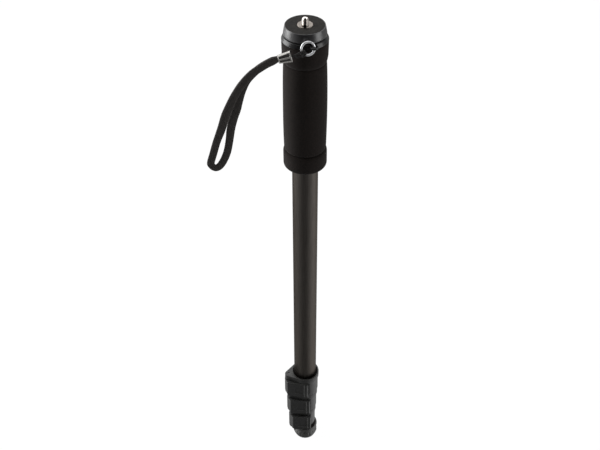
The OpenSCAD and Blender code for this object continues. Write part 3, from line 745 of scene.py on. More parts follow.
@dataclass
class Strap:
    """Split ring, thin cord, ferrule and braided loop, which swing together about the lug.

    Attributes:
        ring_mid: Middle of the split ring.
        ring_r: Radius of its wire's centreline.
        ring_deg: Direction of its left side, round the leg's axis.
        ring_lean: Lean of its top from the upright.
        wire: Thickness of the ring, with both coils.
        home: Place that the thin cord's points are counted from.
        cord_d: Thickness of the thin cord.
        cord_lay: Length in which its strands turn once.
        hitch_r: Distance of its centreline from the ring's wire where it is hitched.
        ferrule: Middle of the ferrule's right end.
        ferrule_l: Length of the ferrule.
        ferrule_deg: Its slope.
        ferrule_half_w: Half its width at the right end and at the left.
        ferrule_half_t: Half its thickness.
        panel_deep: Depth of the panels pressed into it.
        width: Width of the flattened braid.
        depth: Its thickness.
        yarns: Yarns of one direction round the braid.
        crossing: Length of one crossing along the braid.
        yarn_relief: Height of the yarns.
        spread: Share that the braid is wider by where its two legs lie side by side.
        body: Frame body that carries the strap.
    """

    ring_mid: Point = (2.384, -22.548, 550.0)
    ring_r: float = 5.7
    ring_deg: float = 194.0
    ring_lean: float = 12.0
    wire: float = 1.9
    home: Point = (-4.311, -24.217, 550.0)
    cord_d: float = 1.6
    cord_lay: float = 5.0
    hitch_r: float = 1.85
    ferrule: Point = (-11.631, -24.967, 544.0)
    ferrule_l: float = 11.5
    ferrule_deg: float = -15.0
    ferrule_half_w: tuple[float, float] = (4.9, 3.3)
    ferrule_half_t: float = 1.9
    panel_deep: float = 0.45
    width: float = 7.1
    depth: float = 2.3
    yarns: int = 12
    crossing: float = 1.7
    yarn_relief: float = 0.16
    spread: float = 0.09
    body: str = "strap"

    def ring_frame(self) -> tuple[Array, Array, Array]:
        """The ring's direction to the cord's side, its direction up, and its axis towards the back."""
        lean, face = math.radians(90 + self.ring_lean), math.radians(self.ring_deg)
        aside = np.array([math.cos(face), math.sin(face), 0.0])
        level = np.array([-math.sin(face), math.cos(face), 0.0])
        up = math.cos(lean) * level + math.sin(lean) * np.array([0.0, 0.0, 1.0])
        return aside, up, np.cross(aside, up)

    def cord_path(self) -> Array:
        """Centreline of the thin cord: from the ferrule, two and a half turns on the wire, and back."""
        aside, up, back = self.ring_frame()
        place = np.radians(np.linspace(-14, -66, 61))[:, None]
        wrap = np.radians(np.linspace(-90, -990, 61))[:, None]
        out = np.cos(place) * aside + np.sin(place) * up
        helix = np.cos(wrap) * out + np.sin(wrap) * back
        coil = np.array(self.ring_mid) + self.ring_r * out + self.hitch_r * helix
        lead = [(-11, -1.35, -6.3), (-7.5, -1.45, -5.6), (-3.2, -2.2, -3.4)]
        tail = [(1.3, 1.3, -7.4), (-2.7, 0.6, -7.4), (-7.5, -0.05, -6.6), (-11, -0.15, -7.5)]
        knots = np.concatenate([np.array(lead) + self.home, coil, np.array(tail) + self.home])
        return even(through(knots, 8), 460)

    def loop_path(self) -> Array:
        """Centreline of the braid, out of the ferrule, round the loop and back beside itself."""
        out = [
            (-8, -0.8, -2), (-11.5, -0.95, -2.6), (-19.5, -1.4, -6), (-26.8, -1.5, -10.8), (-34.3, -1.6, -16.7),
            (-42.5, -1.6, -26.5), (-49, -1.5, -37.2), (-54.2, -1.4, -48.4), (-58.8, -1.2, -59.2),
            (-63.1, -1, -73.4), (-68.3, -0.6, -88), (-72.1, -0.4, -101), (-75, -0.2, -111), (-74.7, 0, -114.7),
            (-71.4, 0, -117.8), (-67.5, 0.2, -116), (-63.5, 0.4, -110), (-59.5, 0.6, -100), (-56.9, 0.8, -88),
            (-54.7, 1, -74), (-51.6, 1.2, -62.5), (-48.7, 1.3, -54), (-46.7, 1.4, -46), (-43.4, 1.5, -35.5),
            (-39, 1.6, -25.5), (-32.5, 1.5, -17.3), (-26, 1.5, -11.4), (-19, 1.4, -6.7), (-11.5, 0.95, -2.6),
            (-8, 0.8, -2),
        ]
        return even(through(np.array(out, float) + self.ferrule, 40), 1080)

    def thin_cord(self) -> Piece:
        """Three-strand cord: a circle with three lobes that turn once in the length of lay."""
        path = self.cord_path()
        far = travelled(path)
        t = turns(24)
        lobes = 1 - 0.16 * (1 - np.abs(np.cos(1.5 * (t + FULL_TURN * far[:, None] / self.cord_lay))))
        section = polar(lobes, t, 0.0)[..., :2] * self.cord_d / 2
        finish = YarnFinish(
            "polyester_cord_twisted", "#1E1C1B", "#100F0E", (0.75, 0.9), 0.3, 0.02, sheen=0.05,
            turns=3, runs=far[-1] / self.cord_lay, filaments=3.0,
        )
        shell = Shell().grid(swept(path, section, (-0.66, 0.0, 0.75)), caps=True)
        piece = make_piece("thin_cord", shell, finish, self.body, ["strap_cord"])
        return piece

    def braid(self) -> Piece:
        """Flattened tube of braid.

        A superellipse is carried along the path, and raised over each crossing by the sine across the yarn on
        top times the root of the sine along it; crossings alternate between the two directions. Both ends narrow
        into the ferrule, and half way down the braid lies a little wider.


        Returns:
            The braid.
        """
        path = self.loop_path()
        far = travelled(path)
        runs = far[-1] / self.crossing
        columns = 6 * self.yarns
        outline = oval(self.width, self.depth, 2.5, 720)
        flat = even(np.concatenate([outline, outline[:1]]), columns + 1)[:-1]
        u = np.arange(columns) / columns * self.yarns
        v = (far / far[-1] * runs)[:, None]
        a, b = u + v, u - v
        over = (np.floor(a) + np.floor(b)) % 2 < 0.5
        wave_a, wave_b = np.abs(np.sin(np.pi * a)), np.abs(np.sin(np.pi * b))
        rise = np.where(over, wave_a * np.sqrt(wave_b), wave_b * np.sqrt(wave_a))
        out = unit(flat / np.array([self.width, self.depth]) ** 2)
        section = flat + out * ((rise - 0.55) * self.yarn_relief)[..., None]
        inside = ramp(np.minimum(far, far[-1] - far), 2.0, 9.0)[:, None, None]
        section = section * (np.array([0.66, 0.5]) + inside * np.array([0.34, 0.5]))
        section[..., 0] *= 1 + self.spread * window(path[:, 2:] - self.ferrule[2], -88.0, -34.0, 14.0)
        finish = YarnFinish(
            "polyester_braid_flat", "#423D3A", "#1E1B1A", (0.7, 0.88), 0.3, 0.03, sheen=0.04,
            turns=self.yarns, runs=runs, filaments=4.0,
        )
        shell = Shell().grid(swept(path, section, (0.0, 1.0, 0.0)), caps=True)
        piece = make_piece("strap_braid", shell, finish, self.body, ["strap_loop"], sharp=75.0)
        return piece

    def crimp(self) -> Piece:
        """Pressed ferrule: a rounded box that tapers, with two sunk panels on each face and rolled ends.

        Its stations give the distance along it and the scale of the section there.
        """
        length, half_t = self.ferrule_l, self.ferrule_half_t
        mean = [4.1, half_t]
        loop = eased(np.array([[-1, -1], [1, -1], [1, 1], [-1, 1]], float) * mean, 0.5, 9)
        loop = even(np.concatenate([loop, loop[:1]]), 241)[:-1] / mean
        stations = np.array([
            (1.1, 0.62), (1.1, 0.78), (0.05, 0.82), (0.0, 0.9), (0.12, 0.98), (0.4, 1.0),
            *[(s, 1.0) for s in np.linspace(0.6, length - 0.6, 60)],
            (length - 0.3, 1.0), (length - 0.1, 0.97), (length, 0.9), (length, 0.7),
        ])
        along, scale = stations[:, :1], stations[:, 1:]
        across = loop[:, 0] * (np.interp(along, [0, length], self.ferrule_half_w) * scale)
        off = loop[:, 1] * (half_t * scale)
        panels = window(loop[:, 0], 0.13, 0.92, 0.1) + window(-loop[:, 0], 0.15, 0.79, 0.12)
        panels = panels * window(along, 0.9, length - 0.7, 0.5)
        flat_side = ramp(np.abs(loop[:, 1]), 0.9, 0.99)
        off = off - np.sign(off) * self.panel_deep * panels * flat_side
        slope = math.radians(self.ferrule_deg)
        c, s = math.cos(slope), math.sin(slope)
        points = np.stack([across * s - along * c, -off, along * s + across * c], -1) + np.array(self.ferrule)
        shell = Shell().grid(points, caps=True)
        piece = make_piece("ferrule_crimp", shell, TINPLATE, self.body, ["strap_ferrule"])

        def sunk(middle: Array) -> Array:
            """Faces that lie on the floor of a panel, below the face of the crimp, which take painted shade."""
            x, y, z = (middle - np.array(self.ferrule)).T
            run, deep = z * s - x * c, np.abs(y)
            return (deep > 1.2) & (deep < half_t - 0.28) & (run > 1.2) & (run < length - 0.9)

        # The panel floors are painted dark grey as shade.
        stain(piece, PANEL_PAINTED_SHADE, sunk)
        return piece

    def ring(self) -> Piece:
        """Split ring: a flattened wire carried twice round a circle, stepping sideways by its own width."""
        turn = np.linspace(0, 2 * FULL_TURN, 400)
        side = (ramp(turn, FULL_TURN - 0.9, FULL_TURN + 0.9) - 0.5) * self.wire * 0.52
        outline = oval(self.wire * 0.5, self.wire * 0.94, 2.0, 28)
        ease = np.minimum(1.0, np.minimum(turn, turn[::-1]) / 0.12)[:, None] * 0.35 + 0.65
        reach = self.ring_r + outline[:, 1] * ease
        own = polar(reach, turn[:, None], side[:, None] + outline[:, 0])
        shell = Shell().grid(own @ np.array(self.ring_frame()) + np.array(self.ring_mid), caps=True)
        return make_piece("split_ring_coil", shell, CHROME, self.body, ["split_ring"])

    def build(self) -> None:
        """Builds the strap's pieces."""
        ferrule = self.crimp()
        self.thin_cord()
        self.braid()
        self.ring()


@dataclass
class Head:
    """Camera stud, pad, mounting plate and cap at the top of the leg.

    Attributes:
        cap_low: Height of the cap's lower edge.
        cap_top: Height of the cap's top, where the plate sits.
        plate_top: Height of the plate's top.
        flange_top: Height of the stud's flange.
        tip: Height of the stud's tip.
        thread_r: Outer radius of the stud's thread.
        thread_pitch: Its pitch.
        thread_deep: Its depth.
        flange_r: Radius of the stud's flange.
        shank_r: Radius of the stud below the flange.
        slot_half: Half the width of the stud's slot.
        notch_half: Half the width of the slot's ends, in the flange.
        pad_bore: Radius of the pad's hole.
        pad_r: Radius of the pad.
        pad_h: Thickness of the pad.
        plate_r: Largest radius of the plate.
        cap_r: Radius of the cap.
        lug: Place of the strap lug's eye.
        lug_deg: Direction of the lug, round the leg's axis.
        body: Frame body that carries the head.
    """

    cap_low: float = 547.0
    cap_top: float = 551.0
    plate_top: float = 560.2
    flange_top: float = 560.6
    tip: float = 566.4
    thread_r: float = 3.175
    thread_pitch: float = 1.27
    thread_deep: float = 0.62
    flange_r: float = 7.0
    shank_r: float = 4.75
    slot_half: float = 0.85
    notch_half: float = 1.2
    pad_bore: float = 7.3
    pad_r: float = 17.15
    pad_h: float = 1.2
    plate_r: float = 19.1
    cap_r: float = 20.8
    lug: Point = (7.915, -21.169, 550.0)
    lug_deg: float = 290.5
    body: str = "upper"

    def stud(self) -> Piece:
        """Threaded stud with a flange, slotted across.

        The radius of the thread is the outer one less a flattened triangle wave of z / pitch - t / turn, and a
        cone bevels the tip. The slot is in the front half, and its ends are notches in the flange.
        """
        t = turns(96)
        top = self.flange_top
        z = np.linspace(self.tip, top + 0.05, 130)[:, None]
        phase = (z / self.thread_pitch - t / FULL_TURN) % 1.0
        cut = np.clip(np.abs(2 * phase - 1) * 1.3 - 0.15, 0, 1)
        radius = np.minimum(self.thread_r - self.thread_deep * cut, self.thread_r - 1.0 + (self.tip - z))
        low = top - 1.6
        flange = np.array([
            (self.thread_r - 0.4, top), (self.flange_r - 0.5, top), (self.flange_r - 0.15, top - 0.12),
            (self.flange_r, top - 0.45), (self.flange_r, low), (self.shank_r, low),
            (self.shank_r, self.cap_top - 8.0),
        ])
        shell = Shell().grid(np.concatenate([polar(radius, t, z), lathe(flange, 96)]), caps=True)
        wide, slim, notch, reach = self.notch_half, self.slot_half, 3.3, 9.0
        shell.cut(
            block((-slim, -reach, top - 1.0), (slim, -0.2, self.tip + 1.0)),
            block((-wide, -reach, top - 1.0), (wide, -notch, top + 0.4)),
            block((-wide, notch, top - 1.0), (wide, reach, top + 0.4)),
        )
        piece = make_piece("camera_stud", shell, NICKEL, self.body, ["camera_screw"])

        def sunk(middle: Array) -> Array:
            """Faces inside the slot, which take painted shade."""
            across, along, up = np.abs(middle).T
            edge = np.where(along < notch, slim, wide) + 0.01
            return (across < edge) & (middle[:, 1] < -0.15) & (up > top - 1.1)

        def turned_face(middle: Array) -> Array:
            """Faces of the flange."""
            return (np.hypot(middle[:, 0], middle[:, 1]) > self.thread_r) & ~sunk(middle)

        # The slot's faces are painted nearly black as shade.
        stain(piece, PAINTED_SHADE, sunk)
        stain(piece, DULLED, turned_face)
        return piece

    def pad(self) -> Piece:
        """Ring of sheet let into the plate, with soft edges."""
        low, top = self.plate_top - self.pad_h, self.plate_top
        rim = np.array([(self.pad_bore, low), (self.pad_r, low), (self.pad_r, top), (self.pad_bore, top)])
        shell = Shell().grid(lathe(eased(rim, [0.1, 0.1, 0.35, 0.35], 6)), loop=True)
        return make_piece("platform_pad", shell, PAD, self.body, ["top_pad"])

    def plate(self) -> Piece:
        """Turned plate with a flared side: a profile with eased corners, turned round the axis."""
        base, top, bore, r = self.cap_top, self.plate_top, self.shank_r + 0.06, self.plate_r
        rim = self.pad_r + 0.05
        corners = np.array([
            (bore, base), (r - 1.1, base), (r - 0.9, base + 0.9), (r, base + 1.2), (r, base + 2.2), (r - 1.3, top),
            (rim, top), (rim, top - self.pad_h), (bore, top - self.pad_h),
        ])
        reach = [0.1, 0.2, 0.2, 0.25, 0.9, 0.35, 0.2, 0.1, 0.1]
        shell = Shell().grid(lathe(eased(corners, reach, 7), 160), loop=True)
        return make_piece("platform_plate", shell, ENAMEL, self.body, ["mounting_plate"])

    def cap(self) -> Piece:
        """Shoulder and plug, hollow for the nut: the shoulder is a straight bevel with eased ends, turned."""
        low, top, r = self.cap_low, self.cap_top, self.cap_r
        plug_r, nut_r, hole = 11.4, 8.35, self.shank_r + 0.2
        bevel = np.array([(r, low + 0.2), (r, low + 0.55), (19.35, top - 0.35), (18.9, top)])
        steps = 6
        profile = np.concatenate([
            [(0.0, low - 30), (plug_r - 0.7, low - 30), (plug_r, low - 29.2), (plug_r, low), (r - 0.2, low)],
            bevel[:1],
            eased(bevel, 0.5, steps)[steps : 3 * steps],
            [bevel[3], (nut_r, top), (nut_r, top - 8.05), (hole, top - 8.05), (hole, top - 10), (0.0, top - 10)],
        ])
        shell = Shell().grid(lathe(profile, 160))
        return make_piece("cap_shoulder", shell, GLOSS, self.body, ["head_cap"])

    def strap_lug(self) -> Piece:
        """Eye for the ring: in polar form about its hole, a round end that runs into a straight neck."""
        t = turns(144)
        hole, end, half_t = 1.9, 3.3, 0.9
        neck_l, neck_half = 4.9, 3.15
        inward = np.abs((t + np.pi) % FULL_TURN - np.pi)
        neck = np.minimum(
            neck_l / np.maximum(np.cos(inward), 1e-3), neck_half / np.maximum(np.sin(inward), 1e-3)
        )
        outer = np.where(inward < np.pi / 2, neck, end)
        rim = ring_rows([(hole, -half_t), (outer, -half_t), (outer, half_t), (hole, half_t)], t)
        loop = eased(rim, 0.45, 6)
        points = turned(polar(loop[..., 0], t, loop[..., 1]), self.lug_deg + 180.0, self.lug)
        return make_piece("cap_lug", Shell().grid(points, loop=True), GLOSS, self.body)

    def build(self) -> None:
        """Builds the head's pieces and dresses the nut and the rivets."""
        self.stud()
        self.pad()
        self.plate()
        self.cap()
        self.strap_lug()
        dress(["head_nut", "head_rivets"], STEEL)


@dataclass
class Grip:
    """Foam grip: top collar, barrel and bell.

    Attributes:
        low: Height of its lower end.
        length: Its length.
        bore: Radius of its hole.
        collar_h: Height of the top collar.
        collar_r: Radius of the top collar.
        waist_r: Radius under the collar.
        barrel_r: Radius of the barrel.
        bell_h: Height of the bell.
        bell_r: Radius of the bell.
        round_r: Radius of the bell's lower edge.
        uneven: Height of the waves in the ground foam.
        body: Frame body that carries the grip.
    """

    low: float = 413.5
    length: float = 133.5
    bore: float = 12.55
    collar_h: float = 20.5
    collar_r: float = 20.8
    waist_r: float = 19.0
    barrel_r: float = 20.0
    bell_h: float = 19.0
    bell_r: float = 20.6
    round_r: float = 3.0
    uneven: float = 0.035
    body: str = "upper"

    def profile(self) -> Array:
        """Outline from the bore's lower edge to its upper one.

        The barrel's radius is the waist plus a raised sine of the height, which swells most near its lower end.
        """
        bell, bell_h, waist, collar, top = self.bell_r, self.bell_h, self.waist_r, self.collar_r, self.length
        shoulder = top - self.collar_h
        t = np.linspace(0, np.pi / 2, 12)
        rounding = np.column_stack([bell - self.round_r * (1 - np.sin(t)), self.round_r * (1 - np.cos(t))])
        lip = [
            (bell, 8.0), (bell, bell_h - 3.5), (bell - 0.15, bell_h - 2.2), (bell - 0.5, bell_h - 1.2),
            (bell - 1.0, bell_h - 0.6), (waist - 0.2, bell_h - 0.3), (waist - 0.9, bell_h + 0.1),
            (waist - 0.9, bell_h + 0.6),
        ]
        s = np.linspace(0.02, 0.985, 90)
        swell = np.abs(np.sin(np.pi * (1 - s) ** 0.8)) ** 0.6
        barrel_r = waist + (self.barrel_r - waist) * swell + 0.5 * (1 - s)
        barrel = np.column_stack([barrel_r, bell_h + (shoulder - bell_h) * s])
        rim = [
            (waist - 0.4, shoulder - 0.7), (waist, shoulder), (collar - 1.25, shoulder + 0.8),
            (collar - 0.75, shoulder + 2.8), (collar - 0.3, shoulder + 6.0), (collar - 0.1, top - 4.0),
            (collar - 0.1, top - 1.0), (collar - 0.25, top - 0.3), (collar - 0.7, top),
        ]
        return np.concatenate([[(self.bore, 0.0)], rounding, lip, barrel, rim, [(self.bore, top)]])

    def build(self) -> None:
        """Turns the profile and adds the slow unevenness of ground foam: a sum of three long waves."""
        points = lathe(self.profile() + [0.0, self.low], 160)
        x, y, height = np.moveaxis(points, -1, 0)
        turn, radius = np.arctan2(y, x), np.hypot(x, y)
        waves = np.sin(3 * turn + height / 19) + np.sin(5 * turn - height / 11 + 1.3)
        waves = waves + np.sin(2 * turn + height / 31)
        inner = radius < self.bore + 0.01
        points[..., :2] *= np.where(inner, 1.0, 1 + self.uneven * waves / radius)[..., None]
        shell = Shell().grid(points, loop=True)
        piece = make_piece("grip_foam", shell, FOAM, self.body, ["foam_grip"], sharp=60.0)


@dataclass
class Leg:
    """The four tubes and the guide bushes inside them.

    Attributes:
        names: Name of each tube, from the top one down.
        bodies: Frame body of each tube.
        radii: Outer radius of each tube.
        feet: Height of each tube's lower end.
        tops: Height of each tube's upper end.
        wall: Wall of every tube.
    """

    names: tuple[str, ...] = ("upper", "second", "third", "fourth")
    bodies: tuple[str, ...] = ("upper", "section_2", "section_3", "section_4")
    radii: tuple[float, ...] = (12.5, 11.0, 9.5, 8.0)
    feet: tuple[float, ...] = (99.5, 69.0, 38.5, 10.0)
    tops: tuple[float, ...] = (547.0, 509.7, 490.7, 471.7)
    wall: float = 1.0

    def build(self) -> None:
        """Turns each tube from a wall with eased ends, and dresses the bushes."""
        for name, body, r, low, top in zip(self.names, self.bodies, self.radii, self.feet, self.tops):
            wall = np.array([(r, low), (r, top), (r - self.wall, top), (r - self.wall, low)])
            shell = Shell().grid(lathe(eased(wall, 0.3, 4), 160), loop=True)
            make_piece(f"{name}_tube_skin", shell, ANODISED, body, [f"{name}_tube"])
        dress([f"guide_bush_{n}" for n in (2, 3, 4)], ACETAL)


@dataclass
class Lock:
    """Cam lever lock: collar with two ears, lever, pin, brake shoe and collar screw.

    Attributes:
        number: Which lock, from the top one down.
        tube_r: Radius of the tube that the collar is fixed on.
        top: Height of the collar's top.
        turn: Angle that the lock stands turned, in degrees.
        body: Frame body that carries the collar.
        height: Height of the collar.
        band: Height of the band at its top.
        band_out: Wall of the band, outside the tube.
        body_out: Wall of the collar below the band.
        ear: Height of the lower ear.
        ear_r: Radius of both ears.
        next_step: Difference in radius to the next tube.
        pivot_deg: Direction of the lever's pivot, round the tube's axis.
        pivot_out: Distance of the pivot outside the tube.
        pin_hole_r: Radius of the hole for the pin.
        face_deg: Direction that the closed lever's front faces.
        face_out: Distance of the first lock's lever front from the axis.
        first_tube_r: Radius of the first lock's tube.
        tip: How far the lever's tip reaches past the middle of its front.
        thick: Thickness of the lever.
        skirt: Thickness of the lever's skirt, below the hub.
        front_points: Points along the lever's front.
        hub_r: Radius of the lever's hub.
        lift: Distance of the cam's middle from the pivot.
        ridge_r: Radius of the grip ridges.
        ridge_gap: Distance between them.
        ridge_in: Distance of the outer one from the tip.
        ridge_sunk: Depth that the ridges are sunk in the front.
        panel: Distances of the sunk panel's two ends from the tip.
        panel_half: Half its height.
        panel_deep: Its depth.
        screw_z: Height of the collar screw, from the collar's top.
        seat_r: Radius of the screw's seat.
        seat_deep: Its depth.
    """

    number: int
    tube_r: float
    top: float
    turn: float
    body: str
    height: float = 30.2
    band: float = 7.0
    band_out: float = 3.2
    body_out: float = 2.3
    ear: float = 2.2
    ear_r: float = 4.4
    next_step: float = 1.5
    pivot_deg: float = 195.0
    pivot_out: float = 7.0
    pin_hole_r: float = 1.55
    face_deg: float = 262.0
    face_out: float = 16.1
    first_tube_r: float = 12.5
    tip: float = 5.8
    thick: float = 2.2
    skirt: float = 1.4
    front_points: int = 230
    hub_r: float = 5.2
    lift: float = 0.5
    ridge_r: float = 0.95
    ridge_gap: float = 3.0
    ridge_in: float = 1.2
    ridge_sunk: float = 0.15
    panel: tuple[float, float] = (15.6, 5.9)
    panel_half: float = 6.1
    panel_deep: float = 0.5
    screw_z: float = -3.5
    seat_r: float = 2.3
    seat_deep: float = 1.3

    @property
    def pivot_r(self) -> float:
        """Distance of the lever's pivot from the tube's axis."""
        return self.tube_r + self.pivot_out

    @property
    def front(self) -> float:
        """Distance of the closed lever's front face from the tube's axis."""
        slant = math.cos(math.radians(self.face_deg - self.pivot_deg))
        return self.face_out - (self.first_tube_r - self.tube_r) * slant

    def eared(self, t: Array, ring: float) -> Array:
        """Polar radius of the hull of a ring and the round ear.

        Beyond the tangent's angle it is the ring, then the straight tangent, ring / cos, and at the end the far
        side of the ear's circle.
        """
        off = np.abs((t - math.radians(self.pivot_deg) + np.pi) % FULL_TURN - np.pi)
        swing = math.acos((ring - self.ear_r) / self.pivot_r)
        touch = math.atan2(self.ear_r * math.sin(swing), self.pivot_r + self.ear_r * math.cos(swing))
        under = np.maximum(self.ear_r**2 - (self.pivot_r * np.sin(np.minimum(off, touch))) ** 2, 0)
        round_end = self.pivot_r * np.cos(off) + np.sqrt(under)
        straight = ring / np.cos(np.minimum(np.abs(swing - off), 1.4))
        return np.where(off > swing, ring, np.where(off > touch, straight, round_end))

    def placed(self, points: Array) -> Array:
        """Points of the lock's own frame, which starts at its top, moved to the leg."""
        return turned(points, self.turn, (0.0, 0.0, self.top))

    def collar(self) -> Piece:
        """Collar in polar form: at each height the radius is a function of the angle.

        Lower ear, body and band follow each other up the rows, and then the bore. The body's radius drops to a
        thin wall where the lever swings, and its corners and edges are eased.
        """
        start = math.radians(self.pivot_deg - 28)
        end = math.radians(self.face_deg) + math.atan2(self.tip + 2.0, self.front - self.thick / 2)
        edge = math.radians(1.6)
        pivot = math.radians(self.pivot_deg)
        fine = np.linspace(-1.2, 2.2, 14) * edge
        t = np.concatenate([turns(220), start + fine, end - fine, pivot + np.linspace(-0.24, 0.24, 60)])
        t = np.unique(np.round(t % FULL_TURN, 5))
        r = self.tube_r
        body_r, band_r, next_r = r + self.body_out, r + self.band_out, r - self.next_step + 0.12
        body = body_r + (r + 0.9 - body_r) * window(t, start, end, edge)
        lower, upper = self.eared(t, body_r - 0.4), self.eared(t, band_r)
        floor, bore = -self.height, r + 0.05
        corners = ring_rows([
            (next_r, floor), (lower, floor), (lower, floor + self.ear), (body, floor + self.ear),
            (body, -self.band), (upper, -self.band), (upper, 0.0), (r + 1.85, 0.0), (bore, -1.4), (bore, -14.0),
            (next_r, -14.0),
        ], t)
        loop = eased(corners, [0.3, 0.5, 0.4, 0.35, 0.35, 0.4, 0.5, 0.25, 0.3, 0.1, 0.1], 5)
        points = polar(loop[..., 0], t, loop[..., 1])
        x, y = self.pivot_r * math.cos(pivot), self.pivot_r * math.sin(pivot)
        pin = rod((x, y, floor - 1), (x, y, 1.0), self.pin_hole_r)
        seat = rod((0.0, band_r - self.seat_deep, self.screw_z), (0.0, band_r + 1.0, self.screw_z), self.seat_r)
        shell = Shell().grid(self.placed(points), loop=True).cut(self.placed(pin), self.placed(seat))
        n = self.number
        return make_piece(f"collar_{n}_moulding", shell, NYLON, self.body, [f"lock_collar_{n}"])

    def ridge_height(self, x: Array) -> Array:
        """Height of a circle over each of the two grip ridges, at distances along the lever's front."""
        away = [x - self.tip + self.ridge_in + self.ridge_gap * i for i in (0, 1)]
        return sum(np.sqrt(np.maximum(self.ridge_r**2 - far**2, 0)) for far in away)

    def lever_outline(self) -> tuple[Array, Array]:
        """Outline of the lever from above, in a frame whose x runs along its front, and the points on its front.

        It runs from the tip along the front, round the left corner to the hub, round the hub, and along the web
        and the rear back to the tip.

        Returns:
            Points, and for each 1 on the front and 0 elsewhere.
        """
        angle = math.radians(self.pivot_deg - self.face_deg - 90)
        hub = (self.pivot_r - self.lift) * np.array([math.cos(angle), math.sin(angle)])
        front, rear = -self.front, self.thick - self.front
        turn = np.radians(np.linspace(212.0, -8.0, 80))
        arc = hub + self.hub_r * np.column_stack([np.cos(turn), np.sin(turn)])
        corner = np.array([hub[0] - 1.1, front])
        bend = eased(np.array([[self.tip, front], corner, arc[0]]), 0.9, 7)[7:14]
        nick = 0.6
        tip_turn = np.linspace(np.pi / 2, 0, 6)[1:]
        top = np.column_stack([
            self.tip - nick + nick * np.cos(tip_turn), rear - nick + nick * np.sin(tip_turn),
        ])
        low = np.column_stack([top[::-1, 0], front + rear - top[::-1, 1]])[:-1]
        runs = [
            np.linspace((self.tip - nick, front), bend[0], self.front_points, endpoint=False), bend,
            np.linspace(bend[-1], arc[0], 12)[1:-1], arc,
            np.linspace(arc[-1], (0.4 * hub[0], rear), 24)[1:-1],
            np.linspace((0.4 * hub[0], rear), (self.tip - nick, rear), 100), top, low,
        ]
        outline = np.concatenate(runs)
        return outline, (np.arange(len(outline)) < self.front_points).astype(float)

    def lever(self) -> Piece:
        """Lever: its outline carried up in z, with eased edges, two ridges at the tip and a sunk panel.

        The front moves out by the height of a circle over each ridge, and in over the panel. Below the hub only
        a thin skirt of the front goes on: x is held between its ends, and y to its thickness.
        """
        outline, ahead = self.lever_outline()
        low, high, step = -self.height, -self.band - 0.3, -self.height + self.ear + 0.3
        ease = 0.4
        t = np.linspace(0, np.pi / 2, 5)
        skirt_z = np.linspace(low + 0.6, step, 12)
        side_z = np.concatenate([skirt_z, [step], np.linspace(step + 0.2, high - 0.8, 110)])
        z = np.concatenate([low + ease * (1 - np.cos(t)), side_z, high - ease * (1 - np.cos(t[::-1]))])[:, None]
        rounding = ease * (1 - np.sin(t))
        inset = np.concatenate([rounding, np.zeros(len(side_z)), rounding[::-1]])[:, None]
        skirt = np.arange(len(z))[:, None] < len(t) + len(skirt_z)
        end = outline[self.front_points - 1, 0]
        x = np.where(skirt, np.clip(outline[:, 0], end, self.tip), outline[:, 0])
        y = np.where(skirt, np.minimum(outline[:, 1], self.skirt - self.front), outline[:, 1])
        middle = (low + high) / 2
        left, right = (self.tip - far for far in self.panel)
        panel = window(x, left, right, 0.3) * window(z, middle - self.panel_half, middle + self.panel_half, 0.3)
        ridges = np.maximum(self.ridge_height(x) - self.ridge_sunk, 0) * window(z, low, high, 1.4)
        y = y + ahead * (self.panel_deep * panel - ridges)
        heading = unit(np.roll(outline, -1, 0) - np.roll(outline, 1, 0))
        points = np.stack([x + inset * heading[:, 1], y - inset * heading[:, 0], z + 0 * y], -1)
        shell = Shell().grid(self.placed(turned(points, self.face_deg + 90)), caps=True)
        n = self.number
        piece = make_piece(
            f"lever_{n}_moulding", shell, NYLON, f"lever_{n}", [f"lock_lever_{n}"], sharp=42.0
        )
        crest, proud = 0.6, 0.4

        def lit_ridge_tops(middle: Array) -> Array:
            """Faces on the tops of the ridges, which take a painted highlight."""
            own = turned(middle - [0.0, 0.0, self.top], -self.turn - self.face_deg - 90)
            return (self.ridge_height(own[:, 0]) > crest) & (own[:, 1] < -self.front - proud)

        # The ridge tops are painted lighter as a highlight.
        stain(piece, RIDGE_PAINTED_HIGHLIGHT, lit_ridge_tops)
        return piece

    def screw(self) -> Piece:
        """Collar screw: a domed head with a six-sided socket, whose rows change from round to six-sided."""
        t = turns(72)
        hexagon = 1.15 / np.cos((t % (np.pi / 3)) - np.pi / 6)
        seat = self.tube_r + self.band_out - self.seat_deep
        rows = ring_rows([
            (1.2, self.tube_r - 0.85), (1.2, seat), (2.2, seat), (2.2, seat + 0.7), (2.05, seat + 1.0),
            (1.7, seat + 1.16), (hexagon + 0.06, seat + 1.2), (hexagon, seat + 1.12), (hexagon, seat + 0.3),
        ], t)
        points = polar(rows[..., 0], t, rows[..., 1])[..., [0, 2, 1]] + [0.0, 0.0, self.screw_z]
        shell = Shell().grid(self.placed(points), caps=True)
        n = self.number
        return make_piece(f"collar_{n}_bolt", shell, STEEL, self.body, [f"collar_screw_{n}"])

    def build(self) -> None:
        """Builds the lock's pieces and dresses its pin and shoe."""
        self.collar()
        self.lever()
        self.screw()
        dress([f"lock_pin_{self.number}"], OXIDE)
        dress([f"brake_shoe_{self.number}"], ACETAL)


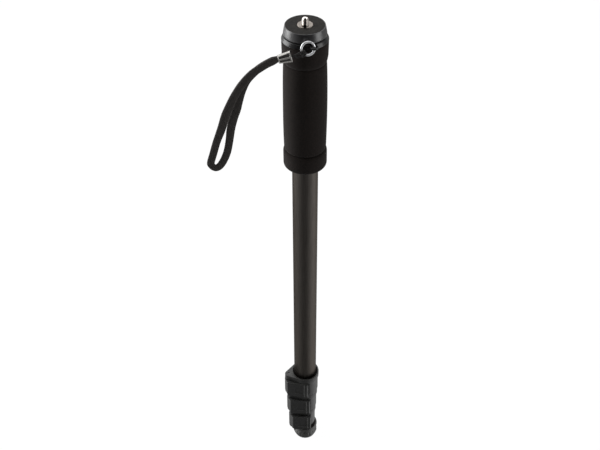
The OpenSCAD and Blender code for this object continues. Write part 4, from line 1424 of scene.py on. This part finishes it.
@dataclass
class Foot:
    """Rubber foot in two tiers, pushed over the plug of the fourth tube.

    Attributes:
        height: Its height.
        radius: Radius of both tiers.
        sole_r: Radius of the sole.
        waist_in: Depth of the waist between the tiers.
        notches: Number of notches round the lower tier.
        notch_deep: Their depth.
        body: Frame body that carries the foot.
    """

    height: float = 22.0
    radius: float = 14.25
    sole_r: float = 11.5
    waist_in: float = 4.2
    notches: int = 16
    notch_deep: float = 0.5
    body: str = "section_4"

    def build(self) -> None:
        """Turns the profile, then lowers the radius of the lower tier in a row of shallow notches."""
        r, waist, steps = self.radius, self.radius - self.waist_in, 6
        corners = np.array([
            (0.0, 0.0), (self.sole_r, 0.0), (self.sole_r + 0.8, 0.8), (r - 0.4, 4.8), (r, 5.6), (r - 0.4, 6.4),
            (waist, 11.5), (waist, 14.4), (r - 0.4, 14.8), (r, 15.2), (r, 17.2), (r - 0.8, 18.2), (9.6, 18.2),
            (8.05, self.height), (8.05, 10.05), (9.05, 10.05), (9.05, 7.95), (5.55, 7.95), (5.55, 2.95),
            (0.0, 2.95),
        ])
        soft = [0.4, 0.5, 0.6, 0.6, 0.6, 0.8, 0.8, 0.4, 0.4, 0.7, 0.6, 0.4, 0.4]
        points = lathe(eased(corners, [0.0, *soft, *[0.1] * 5, 0.0], steps)[steps - 1 : 1 - steps], 192)
        x, y, height = np.moveaxis(points, -1, 0)
        turn, radius = np.arctan2(y, x), np.hypot(x, y)
        notch = ramp(np.cos(self.notches * turn), 0.72, 0.95) * window(height, 0.6, 11.4, 1.6)
        notch = notch * (radius > self.sole_r)
        points[..., :2] *= (1 - self.notch_deep * notch / np.maximum(radius, 1.0))[..., None]
        piece = make_piece("foot_moulding", Shell().grid(points), RUBBER, self.body, ["rubber_foot"])

        def recess(middle: Array) -> Array:
            """Faces of the waist and of the hole, which take painted shade."""
            return (np.hypot(middle[:, 0], middle[:, 1]) < r - 1.6) & (middle[:, 2] > 10.0)

        # The waist and the hole are painted nearly black as shade.
        stain(piece, PAINTED_SHADE, recess)
        dress(["foot_plug"], NYLON)


def main() -> None:
    """Builds the stage and every sub-assembly in order."""
    logging.basicConfig(level=logging.INFO, format="%(name)s %(message)s")
    Stage().build()
    Strap().build()
    Head().build()
    Grip().build()
    Leg().build()
    for lock in (
        Lock(1, 12.5, 113.5, 0.0, "upper"),
        Lock(2, 11.0, 83.0, 8.0, "section_2"),
        Lock(3, 9.5, 52.5, 13.0, "section_3"),
    ):
        lock.build()
    Foot().build()


if __name__ == "__main__":
    main()
